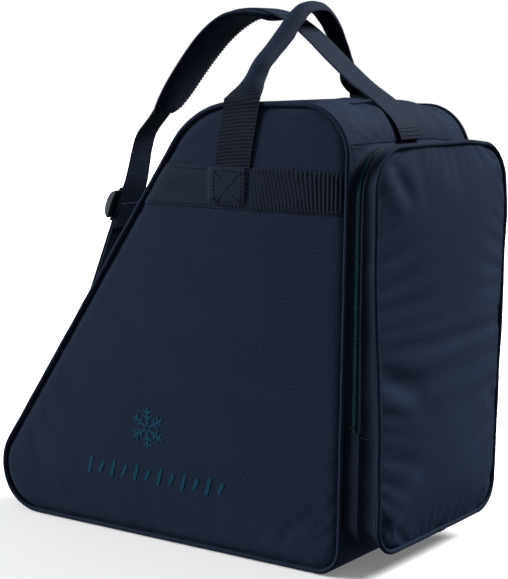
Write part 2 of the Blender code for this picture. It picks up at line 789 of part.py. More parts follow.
def make_ring_and_tab():
    lower, upper = ring_bars()
    lean = (upper - lower).normalized()
    middle = (lower + upper) / 2
    half = RING_REACH / 2
    corners = [(-RING_HALF, -half), (RING_HALF, -half), (RING_HALF, half), (-RING_HALF, half)]
    outline = [point for corner in rounded(corners, [RING_CORNER] * 4, 3) for point in corner]
    path = [(middle.x + lean.x * v, STRAP_Y_TOE + u, middle.y + lean.y * v) for u, v in outline]
    tube("strap_ring", path, RING_BAR, plastic(), closed=True)

    up = Vector((math.cos(SLOPE_ANGLE), math.sin(SLOPE_ANGLE)))
    out = Vector((-up.y, up.x))
    foot = lower - out * RING_OFFSET
    low = WEBBING_THICK / 2 + 2 * GAP
    loop_radius = RING_BAR + TAB_CLEARANCE + WEBBING_THICK / 2
    loop = arc((0.0, RING_OFFSET), loop_radius, -math.pi / 2, math.pi / 2, 8)
    stacked = low + WEBBING_THICK + 2 * GAP
    flat = [
        (-TAB_LENGTH, low), (-0.010, low), (-0.005, (low + loop[0][1]) / 2), *loop,
        (-0.0045, loop[-1][1] - 0.0014), (-0.0105, loop[-1][1] - 0.0060), (-0.0170, stacked), (-TAB_LENGTH, stacked),
    ]  # fmt: skip
    route = [foot + up * u + out * v for u, v in flat]

    def tab_span(point, share):
        return STRAP_Y_TOE - TAB_WIDTH / 2, STRAP_Y_TOE + TAB_WIDTH / 2

    ribbon("strap_tab", route, WEBBING_THICK, tab_span, side_plane, webbing())


def make_adjuster():
    """The bowed slider on the strap, with the webbing that passes over its middle bar and its sewn fold."""
    at = Vector(ADJUSTER_AT)
    lower = Vector(STRAP_STRAIGHT[1])
    along = (lower - at).normalized()
    out = Vector((along.y, -along.x))
    if out.x > 0:
        out = -out

    def place(u, v, y):
        point = at + along * u + out * v
        return (point.x, STRAP_Y_TOE + y, point.y)

    half = ADJUSTER_HALF_LENGTH
    skin = WEBBING_THICK / 2
    outer = [
        (half * math.sin(a), skin + 0.0006 + (ADJUSTER_HEIGHT - skin) * math.cos(a) ** 0.8)
        for a in (math.radians(angle) for angle in range(-88, 89, 16))
    ]
    inner = [(half * share, skin + 0.0006 + ADJUSTER_HOLLOW * (1 - share**2)) for share in (0.8, 0.4, 0, -0.4, -0.8)]
    profile = [*outer, *inner]
    inside = WEBBING / 2 + 0.0012
    wide = ADJUSTER_HALF_WIDTH
    frame = prism("adjuster_frame", profile, place, -wide, -inside, plastic())
    other = prism("adjuster_far_cheek", profile, place, inside, wide, plastic())
    bars = [other]
    for i, (u, v, length, height) in enumerate(ADJUSTER_BARS):
        rect = [(u - length, v), (u + length, v), (u + length, v + height), (u - length, v + height)]
        bars.append(prism(f"adjuster_bar_{i}", rect, place, -inside - 0.001, inside + 0.001, plastic()))
    combine(frame, bars, "UNION")

    def pass_span(point, share):
        return -WEBBING / 2, WEBBING / 2

    over = smooth_route(ADJUSTER_PASS, spacing=0.002)
    ribbon("adjuster_webbing_pass", over, WEBBING_THICK, pass_span, place, webbing())
    fold = smooth_route(ADJUSTER_FOLD, spacing=0.003)
    ribbon("adjuster_webbing_fold", fold, WEBBING_THICK, pass_span, place, webbing())


# ---------------------------------------------------------------- zip slider and pull


def make_slider():
    """The slider on the right side of the box, with a crown for its pull."""
    face = half_width_at(SLIDER_X, 0.0, SLIDER_Z) + COIL_RAISE + 2 * GAP
    half = SLIDER_LENGTH / 2
    outline = [
        (SLIDER_X - 0.0030, SLIDER_Z - half),
        (SLIDER_X + 0.0030, SLIDER_Z - half),
        (SLIDER_X + 0.0046, SLIDER_Z + half - 0.003),
        (SLIDER_X + 0.0030, SLIDER_Z + half),
        (SLIDER_X - 0.0030, SLIDER_Z + half),
        (SLIDER_X - 0.0046, SLIDER_Z + half - 0.003),
    ]
    body = prism("zip_slider", outline, side_plane, face, face + SLIDER_THICK, metal())
    crown_y = face + SLIDER_THICK
    posts = []
    for i, (z_low, z_high) in enumerate(CROWN_POSTS):
        low = (SLIDER_X - CROWN_HALF, crown_y - 0.0005, SLIDER_Z + z_low)
        high = (SLIDER_X + CROWN_HALF, crown_y + CROWN_HEIGHT, SLIDER_Z + z_high)
        posts.append(box(f"crown_post_{i}", low, high, metal()))
    low = (SLIDER_X - CROWN_HALF, crown_y + CROWN_HEIGHT - 0.0012, SLIDER_Z + CROWN_POSTS[0][0])
    high = (SLIDER_X + CROWN_HALF, crown_y + CROWN_HEIGHT, SLIDER_Z + CROWN_POSTS[1][1])
    posts.append(box("crown_bridge", low, high, metal()))
    combine(body, posts, "UNION")


def make_pull():
    """The pull: a flat tab that hangs from a wire loop through the crown."""
    face = half_width_at(SLIDER_X, 0.0, SLIDER_Z) + COIL_RAISE + 2 * GAP
    y = face + SLIDER_THICK + PULL_AXIS_ABOVE
    top = SLIDER_Z + PULL_AXIS_RISE
    half = PULL_HALF_WIDTH
    frame = box(
        "zip_pull",
        (SLIDER_X - half, y - PULL_THICK / 2, top - PULL_LENGTH),
        (SLIDER_X + half, y + PULL_THICK / 2, top + PULL_BAR),
        metal(),
    )
    window = box(
        "pull_window",
        (SLIDER_X - half + 0.0012, y - 0.004, top - PULL_WINDOW),
        (SLIDER_X + half - 0.0012, y + 0.004, top - PULL_BAR),
        metal(),
    )
    combine(frame, [window], "DIFFERENCE")


clear_scene()
for side_name, side_sign in (("left", -1), ("right", 1)):
    make_side(side_name, side_sign)
    make_seam_binding(side_name, side_sign)
    make_band(side_name, side_sign)
    make_handle_leg(side_name, side_sign)
make_gussets()
make_surround()
make_box_fixed()
make_door()
make_handle()
make_strap()
make_adjuster()
make_slider()
make_pull()
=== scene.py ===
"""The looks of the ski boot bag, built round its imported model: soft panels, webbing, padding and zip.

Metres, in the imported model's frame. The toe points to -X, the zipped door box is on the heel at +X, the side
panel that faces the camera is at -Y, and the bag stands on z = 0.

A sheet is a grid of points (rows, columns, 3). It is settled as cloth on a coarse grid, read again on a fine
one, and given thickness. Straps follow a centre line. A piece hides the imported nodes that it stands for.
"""

import math
import random

import bpy
import numpy as np
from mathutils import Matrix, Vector
from mathutils.bvhtree import BVHTree


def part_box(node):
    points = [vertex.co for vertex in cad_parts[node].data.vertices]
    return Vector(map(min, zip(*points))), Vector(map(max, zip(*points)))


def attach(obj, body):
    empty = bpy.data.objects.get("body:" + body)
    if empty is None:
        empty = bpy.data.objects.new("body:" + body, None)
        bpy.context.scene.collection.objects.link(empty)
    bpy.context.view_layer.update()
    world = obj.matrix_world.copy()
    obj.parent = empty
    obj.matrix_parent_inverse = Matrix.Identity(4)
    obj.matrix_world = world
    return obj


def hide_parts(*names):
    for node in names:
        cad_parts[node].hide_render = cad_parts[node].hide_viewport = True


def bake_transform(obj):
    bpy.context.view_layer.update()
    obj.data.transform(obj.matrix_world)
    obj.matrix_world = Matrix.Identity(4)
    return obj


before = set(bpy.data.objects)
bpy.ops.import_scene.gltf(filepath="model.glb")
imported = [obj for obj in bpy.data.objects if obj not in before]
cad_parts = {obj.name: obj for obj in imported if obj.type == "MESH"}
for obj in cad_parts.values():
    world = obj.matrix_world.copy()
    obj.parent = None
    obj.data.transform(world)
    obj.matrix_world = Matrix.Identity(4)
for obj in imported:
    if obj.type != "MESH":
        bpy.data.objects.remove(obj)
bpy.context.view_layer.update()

# Side profile, in (x, z), to the outside of the piping
PIPING_RADIUS = 0.0022
PIPING_INSET = 0.00235
PIPING_FLOOR = 0.0028
PIPING_STEP = 0.0018
PIPING_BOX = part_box("left_piping")
HEIGHT = PIPING_BOX[1].z + PIPING_INSET - PIPING_RADIUS
HEEL_X = 0.200
SLOPE_POINT = (-0.120, 0.170)
SLOPE_ANGLE = math.radians(55)
TOE_RADIUS = 0.044
CROWN_RADIUS = 0.088
HEEL_TOP_RADIUS = 0.045
HEEL_BOTTOM_RADIUS = 0.025
ARC_STEPS = 16
PIPING_Y = (PIPING_BOX[0].y + PIPING_BOX[1].y) / -2
PANEL_Y = -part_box("left_side_panel")[0].y
GUSSET_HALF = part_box("top_gusset")[1].y
GUSSET_INSET = 0.0015
SEAM_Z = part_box("heel_surround")[1].z

# The heel leans towards the toe below its top seam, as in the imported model
LEAN = 0.0175
LEAN_X = (0.1000, 0.1900)

# The soft bag's slump: the right heel-top corner sinks, and the box is less deep towards its top left
DROOP = (-0.0030, -0.0055, -0.0060)
DROOP_FROM = (0.060, 0.020, 0.290)
DROOP_TO = (0.150, 0.105, 0.385)
SHALLOW = 0.0068
SHALLOW_Y = (0.06, -0.11)
SHALLOW_Z = (0.10, 0.27)

# Door box
BOX_BACK_X = 0.1980
BOX_FRONT_X = 0.2336
BOX_BACK_HALF = (0.1046, 0.1046)
BOX_FRONT_HALF = (0.1043, 0.1110)
BOX_BACK_Z = (0.0340, 0.3630)
BOX_FRONT_Z = (0.0205, 0.3660)
BOX_RADIUS_TOP = (0.044, 0.037)
BOX_RADIUS_BOTTOM = (0.012, 0.030)
FOLD_Z = 0.128
BOX_PIPING_X = 0.2325

# Zip, across the box's side from the bag to the door
ZIP_X = 0.2072
TOOTH_PITCH = 0.0021
TOOTH_REACH = 0.0027
SURROUND_HEM_X = 0.2028
DOOR_HEM_X = 0.2116
ZIP_DEPTH = 0.0022
ZIP_END_Z = 0.1272

# Webbing; the handle's middle line over the bag is in (y, z)
WEBBING = 0.036
WEBBING_THICK = 0.0016
RIB_PITCH = 0.0031
RIB_HEIGHT = 0.00040
RIB_STEP = RIB_PITCH / 6
BAND_RIB_PITCH = 0.0037
BAND_Z = (0.308, 0.344)
LEG_BOTTOM = (0.079, 0.3125)
LEG_TOP_Z = 0.4000
LEG_TOP_Y = 0.1110
HANDLE_X = 0.0870
HANDLE_SKEW = 0.064
HANDLE_ARCH = (
    (-0.1115, 0.4020), (-0.1070, 0.4100), (-0.0950, 0.4230), (-0.0835, 0.4350), (-0.0620, 0.4490),
    (-0.0460, 0.4605), (-0.0325, 0.4710), (-0.0190, 0.4795), (-0.0070, 0.4840), (0.0080, 0.4855),
    (0.0225, 0.4840), (0.0365, 0.4775), (0.0510, 0.4665), (0.0640, 0.4510), (0.0780, 0.4325),
    (0.0900, 0.4165), (0.1010, 0.4095), (0.1105, 0.4030),
)  # fmt: skip
HANDLE_CURL = 1.35
HANDLE_SQUEEZE = 0.20
HANDLE_PIVOT_Z = 0.408

# Shoulder strap, in (x, z). Each turn about its length is from x, to x, by an angle
ANCHOR_ANGLES = (math.radians(14), math.radians(48))
ANCHOR_STANDOFF = 0.0017
STRAP_ROUTE = (
    (0.1720, 0.4003), (0.1500, 0.4134), (0.1320, 0.4256), (0.1140, 0.4386), (0.0970, 0.4520),
    (0.0820, 0.4632), (0.0670, 0.4720), (0.0490, 0.4782), (0.0320, 0.4800), (0.0140, 0.4780),
    (-0.0025, 0.4710), (-0.0212, 0.4575), (-0.0395, 0.4392), (-0.0560, 0.4200), (-0.0705, 0.4010),
    (-0.0855, 0.3820), (-0.1020, 0.3640), (-0.1085, 0.3480), (-0.1130, 0.3300), (-0.1180, 0.3125),
    (-0.1310, 0.2815), (-0.1440, 0.2505), (-0.1570, 0.2195),
    (-0.1660, 0.1970), (-0.1730, 0.1740), (-0.1785, 0.1500), (-0.1830, 0.1270),
)  # fmt: skip
STRAP_Y_HEEL = -0.010
STRAP_Y_TOE = 0.002
STRAP_Y_BLEND_X = (0.172, 0.090)
STRAP_TWIST = ((0.020, -0.090, 0.13), (-0.108, -0.122, -0.13))
RETURN_OFFSET = 0.0030
RETURN_TOP_Z = 0.2800
RETURN_LOW_Z = 0.1310
PAD_RANGE_X = (-0.0835, 0.0600)
PAD_WIDTH = 0.056
PAD_END_WIDTH = 0.026
PAD_END_SHARE = 0.22
PAD_BINDING = 0.0026

# Toe ring, tab and strap adjuster
TAB_HEIGHT_Z = 0.086
RING_OFFSET = 0.0080
RING_REACH = 0.0150
RING_LEAN = math.radians(84)
RING_BAR = 0.0020
RING_HALF = 0.0215
RING_CORNER = 0.003
TAB_WIDTH = 0.025
TAB_LENGTH = 0.030
TAB_CLEARANCE = 0.0015
ADJUSTER_AT = (-0.1262, 0.2929)
STRAP_STRAIGHT_END = (-0.1570, 0.2195)
GAP = 0.0003

# Camera, at the height of the bag's top and off its near heel corner
CAMERA_AZIMUTH = math.radians(35.49)
CAMERA_ELEVATION = math.radians(8.30)
CAMERA_PLACE = (0.8894, -1.2093, 0.4373)
CAMERA_LENS = 99.5

# Strength of the soft light all round, from straight down (0) past the horizon (0.5) to straight up (1)
SKY = ((0.0, 0.32), (0.49, 0.26), (0.51, 0.08), (1.0, 0.42))

SEED = 7
SIGNS = {"left": -1, "right": 1}
panel_trees = {}


# ---------------------------------------------------------------- numbers and curves


def smoothstep(low, high, value):
    share = np.clip((np.asarray(value, float) - low) / (high - low), 0.0, 1.0)
    return share * share * (3 - 2 * share)


def heel_lean(points):
    """How far each point moves towards the toe, because the heel leans in below its top seam."""
    return LEAN * np.maximum(0.0, SEAM_Z - points[..., 2]) * smoothstep(*LEAN_X, points[..., 0])


def slumped(points):
    """The points after the heel's lean and the slump of the soft parts."""
    x, y, z = points[..., 0], points[..., 1], points[..., 2]
    limits = zip(DROOP_FROM, DROOP_TO, (x, y, z))
    drooping = np.prod([smoothstep(low, high, value) for low, high, value in limits], axis=0)
    moved = points + drooping[..., None] * np.array(DROOP)
    forward = np.clip((x - ZIP_X) / (BOX_FRONT_X - ZIP_X), 0.0, 1.0)
    moved[..., 0] -= SHALLOW * forward * smoothstep(*SHALLOW_Y, y) * smoothstep(*SHALLOW_Z, z)
    moved[..., 0] -= heel_lean(points)
    return moved


def arc(centre, radius, start, end, steps=ARC_STEPS):
    angles = np.linspace(start, end, steps + 1)
    return np.column_stack([centre[0] + radius * np.cos(angles), centre[1] + radius * np.sin(angles)])


def fillet(before, corner, after, radius):
    """The arc that rounds a corner of a polygon."""
    corner = Vector(corner)
    back = (Vector(before) - corner).normalized()
    ahead = (Vector(after) - corner).normalized()
    half = back.angle(ahead) / 2
    centre = corner + (back + ahead).normalized() * radius / math.sin(half)
    reach = radius / math.tan(half)
    first = corner + back * reach - centre
    last = corner + ahead * reach - centre
    start = math.atan2(first.y, first.x)
    turn = math.atan2(first.x * last.y - first.y * last.x, first.dot(last))
    return arc(centre, radius, start, start + turn)


def rounded(corners, radii):
    """A polygon's corners as arcs, one radius for each."""
    count = len(corners)
    return [fillet(corners[i - 1], corners[i], corners[(i + 1) % count], radii[i]) for i in range(count)]


def rectangle(low, high):
    return [low, (high[0], low[1]), high, (low[0], high[1])]


def at_x(x, plane):
    """Points of (y, z) set in space at x, one number or one for each."""
    return np.column_stack([np.broadcast_to(x, len(plane)), plane])


def at_y(y, plane):
    """Points of (x, z) set in space at y, one number or one for each."""
    return np.column_stack([plane[:, 0], np.broadcast_to(y, len(plane)), plane[:, 1]])


def edge_spaced(count):
    """Shares from -1 to 1 that lie closer together near both ends."""
    return np.sin(np.linspace(-math.pi / 2, math.pi / 2, count))


def lengths_along(points):
    return np.concatenate([[0.0], np.cumsum(np.linalg.norm(np.diff(points, axis=0), axis=1))])


def resample(points, shares):
    """The points at these shares of a line's length, from 0 to 1."""
    points = np.asarray(points, float)
    at = lengths_along(points)
    wanted = np.asarray(shares) * at[-1]
    return np.column_stack([np.interp(wanted, at, column) for column in points.T])


def evenly(points, spacing, closed=False):
    """The line read again at even steps of about this length."""
    points = np.asarray(points, float)
    if closed:
        points = np.vstack([points, points[:1]])
    count = max(3, round(lengths_along(points)[-1] / spacing))
    made = resample(points, np.linspace(0, 1, count + 1))
    return made[:-1] if closed else made


def between(a, b, c, d, t):
    """The smooth curve from b to c at t, with a before them and d after them."""
    square = (2 * a - 5 * b + 4 * c - d) * t**2
    return 0.5 * (2 * b + (c - a) * t + square + (3 * b - a - 3 * c + d) * t**3)


def smooth_route(points, spacing):
    """A curve through the points, read at even steps."""
    points = np.asarray(points, float)
    padded = np.vstack([2 * points[0] - points[1], points, 2 * points[-1] - points[-2]])
    share = np.linspace(0, 1, 24, endpoint=False)[:, None]
    fours = zip(padded, padded[1:], padded[2:], padded[3:])
    runs = [between(*four, share) for four in fours]
    return evenly(np.vstack([*runs, points[-1:]]), spacing)


def softened(values, window):
    """A running mean that keeps the two ends."""
    padded = np.pad(values, ((window, window), *[(0, 0)] * (values.ndim - 1)), mode="edge")
    kernel = np.ones(2 * window + 1) / (2 * window + 1)
    return np.apply_along_axis(lambda column: np.convolve(column, kernel, mode="valid"), 0, padded)


RIPPLE_WAVES = 7
RIPPLE_REACH = 4.0


def ripple(u, v, wavelength, seed):
    """Smooth unevenness from -1 to 1, the same on every run."""
    draw = random.Random(seed)
    total = np.zeros(np.broadcast(u, v).shape)
    for _ in range(RIPPLE_WAVES):
        angle = draw.uniform(0, math.tau)
        length = wavelength * draw.uniform(0.6, 1.7)
        phase = draw.uniform(0, math.tau)
        total += np.sin(math.tau * (u * math.cos(angle) + v * math.sin(angle)) / length + phase)
    return total / RIPPLE_REACH


def crease(u, v, start, end, width, height):
    """A soft ridge (or a valley, if its height is negative) between two points of a sheet."""
    start, end = np.array(start), np.array(end)
    along = end - start
    share = np.clip(((u - start[0]) * along[0] + (v - start[1]) * along[1]) / (along @ along), 0, 1)
    off = np.hypot(u - start[0] - share * along[0], v - start[1] - share * along[1])
    fading = np.sin(math.pi * np.clip(share * 0.9 + 0.08, 0, 1)) ** 0.7
    return height * np.exp(-((off / width) ** 2)) * fading


def cubic(field, where):
    """Reads a field between its rows, with a smooth curve through them."""
    count = len(field)
    low = np.clip(np.floor(where).astype(int), 0, count - 2)
    t = (where - low).reshape(-1, *[1] * (field.ndim - 1))
    return between(*(field[np.clip(low + shift, 0, count - 1)] for shift in (-1, 0, 1, 2)), t)


def read_field(field, u, v):
    """Reads a field over a sheet at the shares u down it and v across it."""
    rows = cubic(field, u * (len(field) - 1))
    return np.swapaxes(cubic(np.swapaxes(rows, 0, 1), v * (field.shape[1] - 1)), 0, 1)


def crowded(count):
    """Shares from 0 to 1 that lie closer together near both ends, where a sheet turns into its seam."""
    share = np.linspace(0, 1, count)
    return share - 0.12 * np.sin(math.tau * share)


# ---------------------------------------------------------------- the bag's own shapes


def slope_x(z, inset=0.0):
    """Where the toe's slope is at z, moved inwards."""
    run = (z - SLOPE_POINT[1]) / math.tan(SLOPE_ANGLE)
    return SLOPE_POINT[0] + run + inset / math.sin(SLOPE_ANGLE)


def side_arcs(inset, floor):
    """The profile's rounded corners in (x, z), moved inwards: toe, heel bottom, heel top and crown."""
    top = HEIGHT - inset
    heel = HEEL_X - inset
    corners = [(slope_x(floor, inset), floor), (heel, floor), (heel, top), (slope_x(top, inset), top)]
    radii = [TOE_RADIUS, HEEL_BOTTOM_RADIUS, HEEL_TOP_RADIUS, CROWN_RADIUS]
    return rounded(corners, [radius - inset for radius in radii])


def side_loop(inset, floor, spacing=0.002):
    return evenly(np.vstack(side_arcs(inset, floor)), spacing, closed=True)


def box_section(x, inset):
    """The box at x: its half width at the bottom and at the top, then its bottom and its top."""
    share = (x - BOX_BACK_X) / (BOX_FRONT_X - BOX_BACK_X)
    half = [back + (front - back) * share - inset for back, front in zip(BOX_BACK_HALF, BOX_FRONT_HALF)]
    bottom, top = (back + (front - back) * share for back, front in zip(BOX_BACK_Z, BOX_FRONT_Z))
    return half[0], half[1], bottom + inset, top - inset


def box_arcs(x, inset):
    """The box's rounded corners in (y, z) at x: bottom left, bottom right, top right and top left."""
    low, high, bottom, top = box_section(x, inset)
    corners = [(-low, bottom), (low, bottom), (high, top), (-high, top)]
    share = (x - BOX_BACK_X) / (BOX_FRONT_X - BOX_BACK_X)
    radii = [back + (front - back) * share - inset for back, front in (BOX_RADIUS_BOTTOM, BOX_RADIUS_TOP)]
    return rounded(corners, [radii[0]] * 2 + [radii[1]] * 2)


def box_half_width(x, inset, z):
    low, high, bottom, top = box_section(x, inset)
    return low + (high - low) * (z - bottom) / (top - bottom)


def box_loop(x, inset):
    """The whole outline at x, from the middle of the bottom round past the right side and the top."""
    low_left, low_right, top_right, top_left = box_arcs(x, inset)
    middle = [(0.0, low_left[-1][1])]
    return np.vstack([middle, low_right, top_right, top_left, low_left, middle])


def box_arch(x, inset, start_z):
    """The outline above start_z, from the left side over the top to the right side."""
    _, _, top_right, top_left = box_arcs(x, inset)
    half = box_half_width(x, inset, start_z)
    return np.vstack([[(-half, start_z)], top_left[::-1], top_right[::-1], [(half, start_z)]])


def box_trough(x, inset, end_z):
    """The outline below end_z, from the left side under the bottom to the right side."""
    low_left, low_right, _, _ = box_arcs(x, inset)
    half = box_half_width(x, inset, end_z)
    return np.vstack([[(-half, end_z)], low_left, low_right, [(half, end_z)]])


def coons(bottom, top, left, right, u, v):
    """A patch between four edges, each read at the shares u or v. Left and right run upwards."""
    bottom, top = (resample(edge, u)[:, None] for edge in (bottom, top))
    left, right = (resample(edge, v)[None] for edge in (left, right))
    u, v = u[:, None, None], v[None, :, None]
    ruled = (1 - v) * bottom + v * top + (1 - u) * left + u * right
    low = (1 - u) * (1 - v) * bottom[:1] + u * (1 - v) * bottom[-1:]
    return ruled - (low + (1 - u) * v * top[:1] + u * v * top[-1:])


def arcs_patch(arcs, u, v):
    """The patch inside four rounded corners, listed from bottom left round to top left."""
    half = ARC_STEPS // 2
    low_left, low_right, top_right, top_left = arcs
    bottom = np.vstack([low_left[half:], low_right[: half + 1]])
    right = np.vstack([low_right[half:], top_right[: half + 1]])
    top = np.vstack([top_right[half:], top_left[: half + 1]])[::-1]
    left = np.vstack([top_left[half:], low_left[: half + 1]])[::-1]
    return coons(bottom, top, left, right, u, v)


def distance_to(loop, points):
    """How far each plane point is from a closed line of points."""
    parts = np.array_split(points.reshape(-1, 2), 40)
    nearest = [np.sqrt(((loop[None] - part[:, None]) ** 2).sum(-1)).min(1) for part in parts]
    return np.concatenate(nearest).reshape(points.shape[:-1])


# ---------------------------------------------------------------- meshes


SHARP = 60
SLAB_SHARP = 50


def build_mesh(name, points, faces, look, uv=None, sharp=None, ribs=None):
    """A mesh with its weave's lengths in one UV map, and in another the strength of its cross ribs, which sets
    the painted shade in their grooves.
    """
    mesh = bpy.data.meshes.new(name)
    points = slumped(np.array(points, float).reshape(-1, 3))
    mesh.from_pydata(points.tolist(), [], faces)
    for layer_name, values in (("Weave", uv), ("Ribs", ribs)):
        if values is None:
            continue
        layer = mesh.uv_layers.new(name=layer_name)
        corners = np.empty(len(mesh.loops), np.int32)
        mesh.loops.foreach_get("vertex_index", corners)
        layer.data.foreach_set("uv", np.asarray(values, np.float32).reshape(-1, 2)[corners].ravel())
    mesh.shade_smooth()
    if sharp:
        mesh.set_sharp_from_angle(angle=math.radians(sharp))
    mesh.materials.append(look)
    return linked(name, mesh)


def linked(name, data):
    """An object of this data, in the scene."""
    made = bpy.data.objects.new(name, data)
    bpy.context.scene.collection.objects.link(made)
    return made


def grid_faces(rows, cols, wrap_rows=False, wrap_cols=False):
    counts = (rows if wrap_rows else rows - 1, cols if wrap_cols else cols - 1)
    i, j = np.indices(counts)
    down, across = (i + 1) % rows, (j + 1) % cols
    corners = [i * cols + j, down * cols + j, down * cols + across, i * cols + across]
    return np.stack(corners, -1).reshape(-1, 4)


def caps(rows, sides):
    """The two end faces of a row of rings."""
    last = (rows - 1) * sides
    return [list(range(sides)), [last + i for i in reversed(range(sides))]]


def sheet_normals(points, wrap=False):
    if wrap:
        along = np.roll(points, -1, 0) - np.roll(points, 1, 0)
    else:
        along = np.gradient(points, axis=0)
    normals = np.cross(along, np.gradient(points, axis=1))
    return normals / np.maximum(np.linalg.norm(normals, axis=-1, keepdims=True), 1e-12)


def length_uv(points):
    """Lengths along the rows and across the columns, in metres."""
    rows, cols, _ = points.shape
    down = lengths_along(points[:, cols // 2])
    across = lengths_along(points[rows // 2])
    return np.stack(np.meshgrid(down, across, indexing="ij"), -1)


def slab(name, points, thick, look, uv=None, wrap=False, ribs=None):
    """A sheet with thickness: points are its face, and its back lies behind them."""
    rows, cols, _ = points.shape
    back = points - sheet_normals(points, wrap) * thick
    count = rows * cols
    front = grid_faces(rows, cols, wrap)
    a = np.arange(count).reshape(rows, cols)
    b = a + count
    rim = []
    first, second = a[:-1, 0], a[1:, 0]
    last, after = a[:-1, -1], a[1:, -1]
    if wrap:
        first, second = a[:, 0], np.roll(a[:, 0], -1)
        last, after = a[:, -1], np.roll(a[:, -1], -1)
    else:
        rim.append(np.stack([a[0, :-1], a[0, 1:], b[0, 1:], b[0, :-1]], -1))
        rim.append(np.stack([a[-1, :-1], b[-1, :-1], b[-1, 1:], a[-1, 1:]], -1))
    rim.append(np.stack([first, first + count, second + count, second], -1))
    rim.append(np.stack([last, after, after + count, last + count], -1))
    faces = np.vstack([front, front[:, ::-1] + count, *rim]).tolist()
    uv = length_uv(points) if uv is None else uv
    both = np.vstack([uv.reshape(-1, 2)] * 2)
    # The ribs' strength goes in the second UV map, where it sets the painted shade in their grooves
    if ribs is not None:
        strength = np.tile(np.ravel(ribs), 2)
        ribs = np.column_stack([strength, strength])
    return build_mesh(name, np.concatenate([points, back]), faces, look, both, SLAB_SHARP, ribs)


def frames_along(path, axis, closed=False):
    """Unit vectors along a line, to its side (as near to axis as it can be) and up."""
    path, axis = np.asarray(path, float), np.asarray(axis, float)
    along = np.roll(path, -1, 0) - np.roll(path, 1, 0) if closed else np.gradient(path, axis=0)
    along /= np.linalg.norm(along, axis=1, keepdims=True)
    side = axis - along * (along @ axis)[:, None]
    side /= np.linalg.norm(side, axis=1, keepdims=True)
    return along, side, np.cross(side, along)


def twisted(side, up, angle):
    """A path's side and up vectors, turned about it by an angle for each point."""
    sine, cosine = np.sin(angle)[:, None], np.cos(angle)[:, None]
    return side * cosine + up * sine, up * cosine - side * sine


def tube(name, path, radius, look, axis, closed=False, sides=14):
    """A round cord. radius is one number, or one for each point."""
    path = np.asarray(path, float)
    _, side, up = frames_along(path, axis, closed)
    angles = np.linspace(0, math.tau, sides, endpoint=False)
    radii = np.broadcast_to(radius, len(path))[:, None, None]
    cosine, sine = np.cos(angles)[None, :, None], np.sin(angles)[None, :, None]
    points = path[:, None] + (side[:, None] * cosine + up[:, None] * sine) * radii
    faces = grid_faces(len(path), sides, closed, True).tolist()
    if not closed:
        faces += caps(len(path), sides)
    around = np.abs(angles - math.pi) * np.mean(radius)
    uv = np.stack(np.meshgrid(lengths_along(path), around, indexing="ij"), -1)
    return build_mesh(name, points, faces, look, uv, SHARP)


def copies(name, shape, faces, places, look):
    """One mesh of many equal small solids. places holds (origin, 3 axes) for each."""
    points = np.concatenate([origin + shape @ np.asarray(axes) for origin, axes in places])
    starts = np.arange(len(places)) * len(shape)
    every = [[corner + int(start) for corner in face] for start in starts for face in faces]
    return build_mesh(name, points, every, look, points[:, [0, 2]], SHARP)


def lathe_shape(rings, sides):
    """A closed solid round its x axis from (x, radius y, radius z, lift) rings."""
    angles = np.linspace(0, math.tau, sides, endpoint=False)
    points = [(x, ry * math.cos(a), rz * math.sin(a) + lift) for x, ry, rz, lift in rings for a in angles]
    faces = [face[::-1] for face in grid_faces(len(rings), sides, False, True).tolist()]
    return np.array(points), faces + caps(len(rings), sides)


STITCH_PITCH = 0.0034
STITCH_LENGTH = 0.0026
STITCH_STEP = 0.0005
STITCH_RINGS = (
    (-0.50, 0.10, 0.08, -0.16), (-0.36, 0.15, 0.13, -0.03), (0.0, 0.16, 0.14, 0.03),
    (0.36, 0.15, 0.13, -0.03), (0.50, 0.10, 0.08, -0.16),
)  # fmt: skip


def stitch_places(path, normals):
    """Where each stitch of a row lies, on a line with its surface normals."""
    at_each = lengths_along(path)
    total = at_each[-1]
    count = max(1, int(total / STITCH_PITCH))
    shares = (np.arange(count) + 0.5) / count
    ahead = resample(path, np.clip(shares + STITCH_STEP / total, 0, 1))
    behind = resample(path, np.clip(shares - STITCH_STEP / total, 0, 1))
    up = np.column_stack([np.interp(shares, at_each / total, column) for column in normals.T])
    places = []
    for origin, a, b, normal in zip(resample(path, shares), ahead, behind, up):
        along = (a - b) / np.linalg.norm(a - b)
        normal = normal - along * (normal @ along)
        normal /= np.linalg.norm(normal)
        places.append((origin, np.array([along, np.cross(normal, along), normal]) * STITCH_LENGTH))
    return places


def stitches(name, rows):
    """Rows of thread, each a line and its normals."""
    places = [place for path, normals in rows for place in stitch_places(path, normals)]
    return copies(name, *lathe_shape(STITCH_RINGS, 6), places, THREAD)


def row(line, normal):
    """A row of stitches on a flat surface."""
    return line, np.tile(np.asarray(normal, float), (len(line), 1))


# ---------------------------------------------------------------- cloth


CLOTH_STIFFNESS = 18.0
CLOTH_BEND = 0.6
CLOTH_MASS = 0.15
CLOTH_FRAMES = 20


